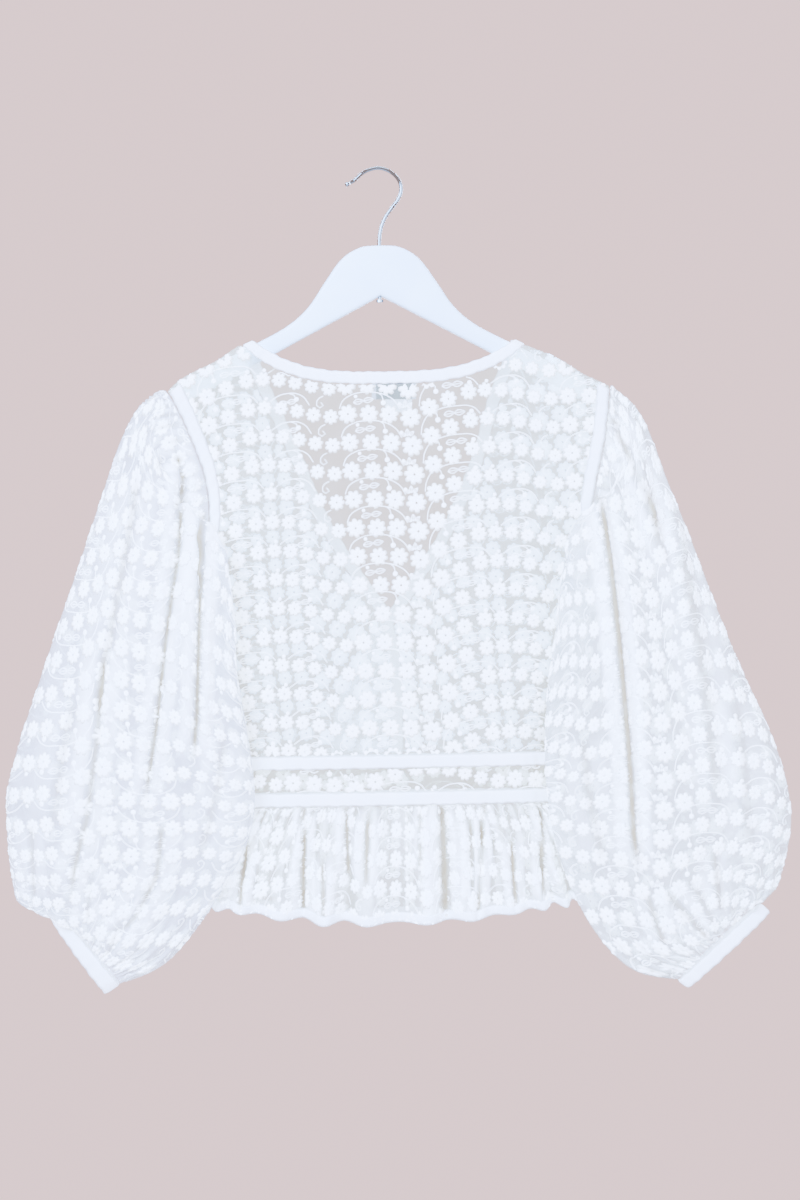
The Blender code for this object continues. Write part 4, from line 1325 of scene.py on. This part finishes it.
def leaf_lines(x, z, turn, length):
    """A leaf's outline and its midrib."""
    share = np.linspace(0, 1, 7)
    half = LEAF_SHAPE / 2 * length * np.sin(math.pi * share**0.85)
    upper, lower = place(share * length, half), place(share * length, -half)[::-1]
    outline = np.concatenate((upper, lower[1:]))
    rib = place(np.linspace(0.06, 0.82, 3) * length, 0.0)
    c, s = math.cos(math.radians(turn)), math.sin(math.radians(turn))
    turned = np.array(((c, s), (-s, c)))
    return [line @ turned + (x, z) for line in (outline, rib)]


def sprigs():
    """The vines and leaves of one repeat of one row."""
    pieces = [thread(curve_through(vine)) for vine in VINES]
    for leaf in zip(*LEAVES.values()):
        outline, rib = leaf_lines(*leaf)
        pieces += [thread(outline), thread(rib, **LEAF_RIB)]
    points, faces, spread, start = [], [], [], 0
    for corners, squares, flat in pieces:
        points.append(corners)
        faces.append(squares + start)
        spread.append(flat)
        start += len(corners)
    return np.concatenate(points), np.concatenate(faces), np.concatenate(spread)


def motif_object(name, shape, scale=1.0):
    points, faces, spread = shape
    made = new_mesh(name, np.asarray(points) * scale, faces, spread, EMBROIDERY, uv_name="thread")
    return made


DAISY_KIND, BUD_KIND, SPRIG_KIND = 0, 1, 2
MOTIFS = {
    "Daisy": motif_object("motif daisy", daisy(), 1 / MM),
    "Bud": motif_object("motif bud", bud(), 1 / MM),
    "Sprigs": motif_object("motif sprigs", sprigs()),
}


class Maker(Tree):
    """A geometry node group with named inputs, whose result gets the input Thread's material."""

    def __init__(self, name, **inputs):
        self.group = bpy.data.node_groups.new(name, "GeometryNodeTree")
        super().__init__(self.group)
        for given, kind in {**inputs, "Thread": "Material"}.items():
            self.socket(given.replace("_", " "), "INPUT", kind)
        self.socket("Made", "OUTPUT", "Geometry")
        self.given = self.nodes.new("NodeGroupInput")

    def socket(self, name, way, kind):
        self.group.interface.new_socket(name=name, in_out=way, socket_type=f"NodeSocket{kind}")

    def take(self, name):
        return Value(self, self.given.outputs[name])

    def attribute(self, name, kind):
        settings = {"data_type": kind}
        return self.node("GeometryNodeInputNamedAttribute", settings, {"Name": name}, "Attribute")

    def geometry_of(self, name):
        return self.node("GeometryNodeObjectInfo", inputs={"Object": self.take(name)}, output="Geometry")

    def end(self, geometry):
        inputs = {"Geometry": geometry, "Material": self.take("Thread")}
        shown = self.node("GeometryNodeSetMaterial", inputs=inputs)
        self.links.new(shown.socket, self.nodes.new("NodeGroupOutput").inputs[0])
        return self.group


def embroidery_tree():
    """Puts each motif on the points of its kind and wraps the flat result round a sheet."""
    tree = Maker(
        "embroidery",
        Points="Geometry",
        Sheet="Object",
        **{name: "Object" for name in MOTIFS},
        Lift="Float",
        Uneven_size="Float",
        Folded_away_above="Float",
    )
    take, attribute = tree.take, tree.attribute
    uneven = tree.node(
        "FunctionNodeRandomValue", {"data_type": "FLOAT"}, {"Min": -1.0, "Max": 1.0, "Seed": 7}, "Value"
    )
    size = attribute("size", "FLOAT") * (1.0 + uneven * take("Uneven size"))
    turn = tree.node("ShaderNodeCombineXYZ", inputs={2: attribute("turn", "FLOAT")})
    joined = tree.node("GeometryNodeJoinGeometry")
    for kind, name in enumerate(MOTIFS):
        chosen = tree.node(
            "FunctionNodeCompare",
            {"data_type": "INT", "operation": "EQUAL"},
            {"A": attribute("kind", "INT"), "B": kind},
        )
        placed = tree.node(
            "GeometryNodeInstanceOnPoints",
            inputs={
                "Points": take("Points"),
                "Selection": chosen,
                "Instance": tree.geometry_of(name),
                "Rotation": turn,
                "Scale": (1.0, 1.0, 1.0)
                if name == "Sprigs"
                else tree.node("ShaderNodeCombineXYZ", inputs={0: size, 1: size, 2: size}),
            },
        )
        tree.links.new(placed.socket, joined.socket.node.inputs[0])
    shapes = tree.node("GeometryNodeRealizeInstances", inputs={"Geometry": joined})

    x, y, relief = tree.split(tree.node("GeometryNodeInputPosition"))
    flat_place = tree.node("ShaderNodeCombineXYZ", inputs={0: x, 1: y})
    sampled = {
        "Mesh": tree.geometry_of("Sheet"),
        "UV Map": attribute("flat", "FLOAT_VECTOR"),
        "Sample UV": flat_place,
    }

    def on_sheet(value, output="Value", kind="FLOAT_VECTOR"):
        inputs = {**sampled, "Value": value}
        return tree.node("GeometryNodeSampleUVSurface", {"data_type": kind}, inputs, output)

    position = tree.node("GeometryNodeInputPosition")
    valid = on_sheet(position, "Is Valid")
    outside = tree.node("FunctionNodeBooleanMath", {"operation": "NOT"}, {0: valid})
    tone = on_sheet(attribute("shade", "FLOAT"), kind="FLOAT")
    folded = tree.node(
        "FunctionNodeCompare",
        {"data_type": "FLOAT", "operation": "GREATER_THAN"},
        {"A": tone, "B": take("Folded away above")},
    )
    inside = tree.node("GeometryNodeDeleteGeometry", inputs={"Geometry": shapes, "Selection": outside})
    kept = tree.node(
        "GeometryNodeDeleteGeometry", {"domain": "FACE"}, {"Geometry": inside, "Selection": folded}
    )
    # The embroidery keeps the painted shade of the net beneath it
    shaded = tree.node(
        "GeometryNodeStoreNamedAttribute",
        {"data_type": "FLOAT", "domain": "POINT"},
        {"Geometry": kept, "Name": "shade", "Value": tone},
    )
    outward = on_sheet(attribute("outward", "FLOAT_VECTOR"))
    raised = tree.vector("SCALE", {"Vector": outward, "Scale": relief + take("Lift")})
    wrapped = tree.vector("ADD", {0: on_sheet(position), 1: raised})
    return tree.end(tree.node("GeometryNodeSetPosition", inputs={"Geometry": shaded, "Position": wrapped}))


def run_tree(maker, group, settings):
    """The group's plain mesh on maker, with named inputs set; maker itself is removed."""
    modifier = maker.modifiers.new(group.name, "NODES")
    modifier.node_group = group
    for item in group.interface.items_tree:
        if item.item_type == "SOCKET" and item.in_out == "INPUT" and item.name in settings:
            modifier[item.identifier] = settings[item.name]
    name = maker.name
    mesh = as_shown(maker)
    mesh.name = name
    return new_object(name, mesh)


def chart_points(chart, low, high):
    """The chart's repeats over a box of flat cloth: places, kinds, sizes and turns."""
    lean = math.radians(chart["lean"])
    turned = np.array(((math.cos(lean), math.sin(lean)), (-math.sin(lean), math.cos(lean))))
    start = np.array((chart["x"], chart["z"]))
    reach = np.abs(np.stack((low, high)) - start).max(axis=0).sum()
    placed = []
    for row in range(-int(reach / ROW_PITCH) - 2, int(reach / ROW_PITCH) + 3):
        for repeat in range(-int(reach / REPEAT) - 2, int(reach / REPEAT) + 2):
            left, level = repeat * REPEAT, row * ROW_PITCH
            for kind, motif in ((DAISY_KIND, DAISIES), (BUD_KIND, BUDS)):
                placed += [(left + x, level + z, kind, size * MM) for x, z, size in zip(*motif.values())]
            placed.append((left, level, SPRIG_KIND, 1.0))
    placed = np.array(placed)
    places, kinds, sizes = placed[:, :2] @ turned + start, placed[:, 2].astype(int), placed[:, 3]
    margin = np.where(kinds == SPRIG_KIND, REPEAT + 20, 12)[:, None]
    near = ((places > low - margin) & (places < high + margin)).all(axis=1)
    return places[near], kinds[near], sizes[near], lean


def embroider(name, sheet, ground, chart, tree, yarn):
    """All the motifs of one sheet as one mesh, wrapped on it."""
    flat = sheet.flat.reshape(-1, 2)
    places, kinds, sizes, lean = chart_points(chart, flat.min(axis=0), flat.max(axis=0))
    maker = new_mesh(name, place(*places.T, 0.0), [])
    turns = lean + MOTIF_TURN * np.sin(places[:, 0] * 0.37 + places[:, 1] * 0.61)
    turns = np.where(kinds == SPRIG_KIND, lean, turns)
    for key, kind, values in (("kind", "INT", kinds), ("size", "FLOAT", sizes), ("turn", "FLOAT", turns)):
        made = maker.data.attributes.new(key, kind, "POINT")
        made.data.foreach_set("value", values.astype(np.int32 if kind == "INT" else np.float32))
    settings = {
        "Sheet": ground,
        "Lift": EMBROIDERY_LIFT * MM,
        "Uneven size": MOTIF_UNEVEN,
        "Folded away above": FOLDED_AWAY,
        "Thread": yarn,
        **MOTIFS,
    }
    made = run_tree(maker, tree, settings)
    made.data.shade_smooth()
    return made


def stitch_tree():
    """Lays one stitch after another along each edge line of a mesh."""
    tree = Maker("stitches", Lines="Geometry", Stitch="Object", Pitch="Float")
    curve = tree.node("GeometryNodeMeshToCurve", inputs={"Mesh": tree.take("Lines")})
    inputs = {"Curve": curve, "Length": tree.take("Pitch")}
    spaced = tree.node("GeometryNodeResampleCurve", {"mode": "LENGTH"}, inputs)
    along = tree.node("GeometryNodeInputTangent")
    turned = tree.node("FunctionNodeAlignRotationToVector", {"axis": "X"}, {"Vector": along})
    inputs = {"Points": spaced, "Instance": tree.geometry_of("Stitch"), "Rotation": turned}
    placed = tree.node("GeometryNodeInstanceOnPoints", inputs=inputs)
    return tree.end(tree.node("GeometryNodeRealizeInstances", inputs={"Geometry": placed}))


def stitch_object():
    """One stitch: a short spindle of five sides."""
    points = []
    for at, size in STITCH_RINGS:
        for turn in (2 * math.pi * i / STITCH_SIDES for i in range(STITCH_SIDES)):
            radius = STITCH["width"] / 2 * size
            points.append((STITCH["length"] * at, radius * math.cos(turn), radius * math.sin(turn)))
    count = len(points)
    faces = [list(face)[::-1] for face in grid_faces(len(STITCH_RINGS), STITCH_SIDES, True)[0]]
    faces += [list(range(STITCH_SIDES)), list(range(count))[: -STITCH_SIDES - 1 : -1]]
    spread = [points[i][:2] for face in faces for i in face]
    made = new_mesh("motif stitch", points, faces, np.array(spread), None, uv_name="thread")
    return made


# Putting the blouse together

nets, plain = {}, {}


def add_net(name, node, sheet, tree, tone, held, rests_on):
    """A net piece and its embroidery, in place of its solid."""
    ground = sheet_object(f"net_{name}", sheet, NETS[tone])
    work = embroider(f"embroidery_{name}", sheet, ground, CHARTS[name], tree, THREADS[tone])
    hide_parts(node)
    for piece in (ground, work):
        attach(piece, "root")
    words = {"flat": FLAT_CUTS[name], "held": held, "rests_on": rests_on, "area": sheet.flat_area()}
    nets[name] = {"net": ground, "on_it": [work], "words": words}


def add_strip(name, node, sheet, wall):
    """A plain cotton strip, in place of its solid."""
    piece = strip_object(name, sheet, wall, COTTON)
    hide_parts(node)
    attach(piece, "root")
    plain[name] = {"piece": piece, "sheet": sheet}


def grid(surface, u, v, swap=False, closed=False):
    """A surface read on a grid; swap puts its u down the rows."""
    if swap:
        columns, rows = np.meshgrid(v, u)
        places = surface(rows, columns)
    else:
        columns, rows = np.meshgrid(u, v)
        places = surface(columns, rows)
    return Sheet(places, None, closed=closed, outward_y=None if closed else 1)


def puckered(sheet, strength=PUCKER["strip"]):
    """The strip with small uneven puckers along it, as sewing leaves."""
    columns = sheet.places.shape[1]
    length = lengths_along(sheet.places[0])
    bumps = np.sin(length / 1.9 + 2 * np.sin(length / 23)) + 0.7 * np.sin(length / 4.3 + 1.0)
    if sheet.closed:
        ends = np.minimum(np.arange(columns), np.arange(columns)[::-1])
        bumps = bumps * smooth(ends / 6)
    across = unit(np.gradient(sheet.places, axis=0))
    sideways = PUCKER["sideways"] * (np.roll(bumps, 3) if sheet.closed else bumps)
    moved = sheet.normals * (strength * bumps)[None, :, None]
    sheet.places = sheet.places + moved + across * sideways[None, :, None]
    return sheet


def armhole_tape(outline, to_place, u0, u1, facing):
    """The plain tape over a panel's armhole edge."""
    out = NET_WALL / 2 + SEAM_GAP + TAPE_WALL / 2

    def surface(u, v):
        share = mix(u0, u1, u)
        x, z = outline(share, v)
        places = to_place(x, z)
        places[..., 1] += facing * out
        return places

    return surface


def build_bodice(tree):
    back = panel_sheet(back_outline, back_place, BACK_COLUMNS, -1)
    hung = ["hanger_body"]
    add_net("back", "bodice_back", back, tree, "beige_shade", "hung", hung)
    v = np.linspace(0, 1, BINDING_ROWS)
    neck = puckered(grid(back_binding, np.linspace(0, 1, BACK_BINDING_STEPS), v))
    add_strip("binding_back", "neck_binding_back", neck, BINDING_WALL)
    along = np.linspace(*ARMHOLE_TAPE_ROWS, ARMHOLE_STEPS)
    across = np.linspace(0, 1, TAPE_ROWS)
    for name, side in SIDES.items():
        outline, to_place = partial(front_outline, name), partial(front_place, name)

        def binding(u, v, name=name):
            x, z = front_edge_point(name, v, BINDING_WIDTH * u)
            return front_place(name, x, z, out=BINDING_OUT, edge=BINDING_EDGE)

        front = panel_sheet(outline, to_place, FRONT_COLUMNS, 1)
        add_net(f"front_{name}", f"bodice_front_{name}", front, tree, "white", "hung", hung)
        edge = puckered(grid(binding, v, np.linspace(0, 1, FRONT_BINDING_STEPS), swap=True))
        add_strip(f"binding_front_{name}", f"neck_binding_{name}", edge, BINDING_WALL)
        back_u = (0.0, BACK_TAPE_PART) if side < 0 else (1 - BACK_TAPE_PART, 1.0)
        tapes = {
            "back": armhole_tape(back_outline, back_place, *back_u, -1),
            "front": armhole_tape(outline, to_place, 1 - FRONT_TAPE_PART, 1.0, 1),
        }
        for where, surface in tapes.items():
            tape = puckered(grid(surface, across, along, swap=True))
            node = f"armhole_tape_{where}_{name}"
            add_strip(f"tape_armhole_{where}_{name}", node, tape, TAPE_WALL)


def build_waist(tree):
    u = np.arange(WAIST_STEPS) / WAIST_STEPS
    v = np.linspace(0, 1, BINDING_ROWS)
    top = WAIST_TOP_Z
    tape = puckered(grid(band(top, UPPER_TAPE), u, v, closed=True))
    add_strip("tape_waist_upper", "waist_tape_upper", tape, TAPE_WALL)
    top -= UPPER_TAPE
    strip, rows = band(top, LACE_BAND), np.linspace(0, 1, BAND_ROWS)
    lace = gathered_sheet(strip, strip, rows, WAIST_STEPS, BAND_FLAT_WIDTH)
    add_net("band", "waist_lace_band", lace, tree, "beige_shade", "stretched", ["net_back"])
    top -= LACE_BAND
    tape = puckered(grid(band(top, LOWER_TAPE), u, v, closed=True))
    add_strip("tape_waist_lower", "waist_tape_lower", tape, TAPE_WALL)
    rows = np.linspace(0, 1, PEPLUM_ROWS)
    width = PEPLUM_FLAT_WIDTH
    skirt = gathered_sheet(peplum_base, peplum, rows, PEPLUM_COLUMNS, width, tone=peplum_tone)
    add_net("peplum", "peplum", skirt, tree, "grey_shade", "gathered", ["tape_waist_lower"])
    hem_rows = np.linspace(0, HEM_HEIGHT / HEM_DROP, HEM_ROWS)
    u = even_round(peplum_base, hem_rows, PEPLUM_COLUMNS)
    hem = Sheet(peplum(*np.broadcast_arrays(u, hem_rows[:, None])), None, closed=True)
    piece = strip_object("hem_peplum", hem, HEM_WALL, COTTON)
    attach(piece, "root")
    nets["peplum"]["on_it"].append(piece)


def build_sleeves(tree):
    rows = uneven_rows(*SLEEVE_ROWS)
    for name in SIDES:
        base = sleeve_base(name)
        creases = sleeve_creases(name, base)

        def height(u, v):
            return sleeve_ripple(u, v) + sleeve_fine(u, v)[0] + creases(u, v)[0]

        # Painted shade in creases and gathers, and paler doubled cloth beside them
        def tone(u, v):
            return sleeve_fine(u, v)[1] + creases(u, v)[1]

        surface = rippled(base, height)
        width = -SIDES[name] * SLEEVE_FLAT_WIDTH
        sleeve = gathered_sheet(base, surface, rows, SLEEVE_COLUMN_COUNT, width, start=0.5, tone=tone)
        add_net(f"sleeve_{name}", f"sleeve_{name}", sleeve, tree, name, "gathered", ["net_back"])
        round_cuff, across = np.arange(CUFF_STEPS) / CUFF_STEPS, np.linspace(0, 1, BINDING_ROWS)
        cuff = puckered(grid(cuff_surface(name), round_cuff, across, closed=True), PUCKER["cuff"])
        add_strip(f"cuff_band_{name}", f"cuff_{name}", cuff, BINDING_WALL)


def stitch_lines():
    """Rows of stitches near both edges of each cotton strip, on its outer face."""
    points, edges = [], []
    for strip in plain.values():
        sheet = strip["sheet"]
        for share in STITCH_ROWS:
            low, part = divmod(share * (sheet.places.shape[0] - 1), 1)
            low = int(low)
            line = mix(sheet.places[low], sheet.places[low + 1], part)
            outward = -1 if sheet.turned and not sheet.closed else 1
            line = line + sheet.normals[low] * STITCH_LIFT[sheet.closed] * outward
            start, count = len(points), len(line)
            points += line.tolist()
            edges += [(start + i, start + i + 1) for i in range(count - 1)]
            if sheet.closed:
                edges.append((start + count - 1, start))
    return points, edges


def build_stitches():
    points, edges = stitch_lines()
    mesh = bpy.data.meshes.new("stitching")
    mesh.from_pydata((np.array(points) * MM).tolist(), edges, [])
    stitch = stitch_object()
    settings = {"Stitch": stitch, "Pitch": STITCH["pitch"] * MM, "Thread": EMBROIDERY}
    made = run_tree(new_object("stitching", mesh), stitch_tree(), settings)
    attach(made, "root")
    bpy.data.objects.remove(stitch)


def build_hanger():
    """The hanger's body, with smoother curves and rounder edges than its solid."""
    steps = np.concatenate([np.linspace(*stretch) for stretch in HANGER_STEPS])
    upper = [(x, float(hanger_top_z(x))) for x in steps]
    end = float(hanger_top_z(HANGER_END))
    lower_end = (HANGER_END - 6, HANGER_NOTCH_Z - ARM_LOWER_SLOPE * (HANGER_END - 6))
    right = upper + [(HANGER_END - 1, end + 0.5), (HANGER_END + 1.5, end - 7)]
    right += [(HANGER_END + 0.5, lower_end[1] + 5), lower_end]
    outline = right + [(0.0, HANGER_NOTCH_Z)] + [(-x, z) for x, z in reversed(right) if x > 0]
    work = bmesh.new()
    c, s = math.cos(HANGER_TILT), math.sin(HANGER_TILT)
    half = HANGER_THICK / 2
    ring = [
        work.verts.new(Vector((x * c - z * s, half, x * s + z * c)) * MM) for x, z in outline
    ]
    face = work.faces.new(ring)
    moved = bmesh.ops.extrude_face_region(work, geom=[face])["geom"]
    verts = [item for item in moved if isinstance(item, bmesh.types.BMVert)]
    bmesh.ops.translate(work, verts=verts, vec=(0, -HANGER_THICK * MM, 0))
    bmesh.ops.recalc_face_normals(work, faces=work.faces)
    rims = [edge for edge in work.edges if abs(edge.verts[0].co.y - edge.verts[1].co.y) < 1e-7]
    bmesh.ops.bevel(
        work, geom=rims, offset=HANGER_EDGE_ROUND * MM, segments=4, profile=0.5, affect="EDGES"
    )
    mesh = bpy.data.meshes.new("hanger_wood")
    work.to_mesh(mesh)
    work.free()
    mesh.shade_smooth()
    made = new_object("hanger_wood", mesh, PAINT)
    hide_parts("hanger_body")
    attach(made, "root")


def build_hook():
    """The hook's wire, drawn round."""
    count = len(HOOK_LINE["x"])
    line = {**HOOK_LINE, "step": range(count)}
    steps = np.linspace(0, count - 1, WIRE_STEPS)
    curve = bpy.data.curves.new("hook_round", "CURVE")
    curve.dimensions = "3D"
    curve.bevel_depth = WIRE_RADIUS * MM
    curve.bevel_resolution = WIRE_ROUND
    curve.use_fill_caps = True
    spline = curve.splines.new("POLY")
    spline.points.add(len(steps) - 1)
    wire_x, wire_z = table(line, "step", "x")(steps), table(line, "step", "z")(steps)
    for point, x, z in zip(spline.points, wire_x, wire_z):
        point.co = (x * MM, 0.0, z * MM, 1.0)
    mesh = as_shown(new_object("hook_drawn", curve))
    mesh.materials.clear()
    mesh.shade_smooth()
    made = new_object("hook_round", mesh, CHROME)
    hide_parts("hook_wire")
    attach(made, "root")


def finish_solids():
    """The solids that stay as they are get their finish."""
    kept = {"hook_nut": CHROME, "hook_tip": CHROME, "neck_label": LABEL, "size_tab": COTTON}
    for name, material in kept.items():
        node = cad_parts[name]
        for slot in node.material_slots:
            slot.material = material


def light_and_camera():
    world = bpy.data.worlds.new("backdrop")
    bpy.context.scene.world = world
    world.use_nodes = True
    world.node_tree.nodes["Background"].inputs["Color"].default_value = (*BACKDROP, 1)
    for row in LIGHTS:
        light = bpy.data.lights.new(row["name"], "AREA")
        light.shape = "DISK"
        light.size = row["size"] * MM
        light.energy = row["watts"]
        light.color = row["colour"]
        lamp = new_object(row["name"], light)
        lamp.location = Vector(row["at"]) * MM
        aim = Vector(LIT_PLACE) * MM - lamp.location
        lamp.rotation_euler = aim.to_track_quat("-Z", "Y").to_euler()
    work = bmesh.new()
    bmesh.ops.create_circle(work, cap_ends=True, segments=96, radius=FLOOR_RADIUS * MM)
    mesh = bpy.data.meshes.new("floor")
    work.to_mesh(mesh)
    work.free()
    mesh.transform(Matrix.Translation((0, 0, FLOOR_Z * MM)))
    new_object("floor", mesh, FLOOR)
    lens = bpy.data.cameras.new("camera")
    lens.lens = LENS
    lens.sensor_width = 36.0
    camera = new_object("camera", lens)
    camera.location = Vector(EYE) * MM
    camera.rotation_euler = (math.pi / 2, 0.0, 0.0)
    bpy.context.scene.camera = camera
    bpy.context.scene.cycles.transparent_max_bounces = 32


stitched = embroidery_tree()
build_bodice(stitched)
build_waist(stitched)
build_sleeves(stitched)
for motif in MOTIFS.values():
    bpy.data.objects.remove(motif)
build_stitches()
build_hanger()
build_hook()
finish_solids()
light_and_camera()
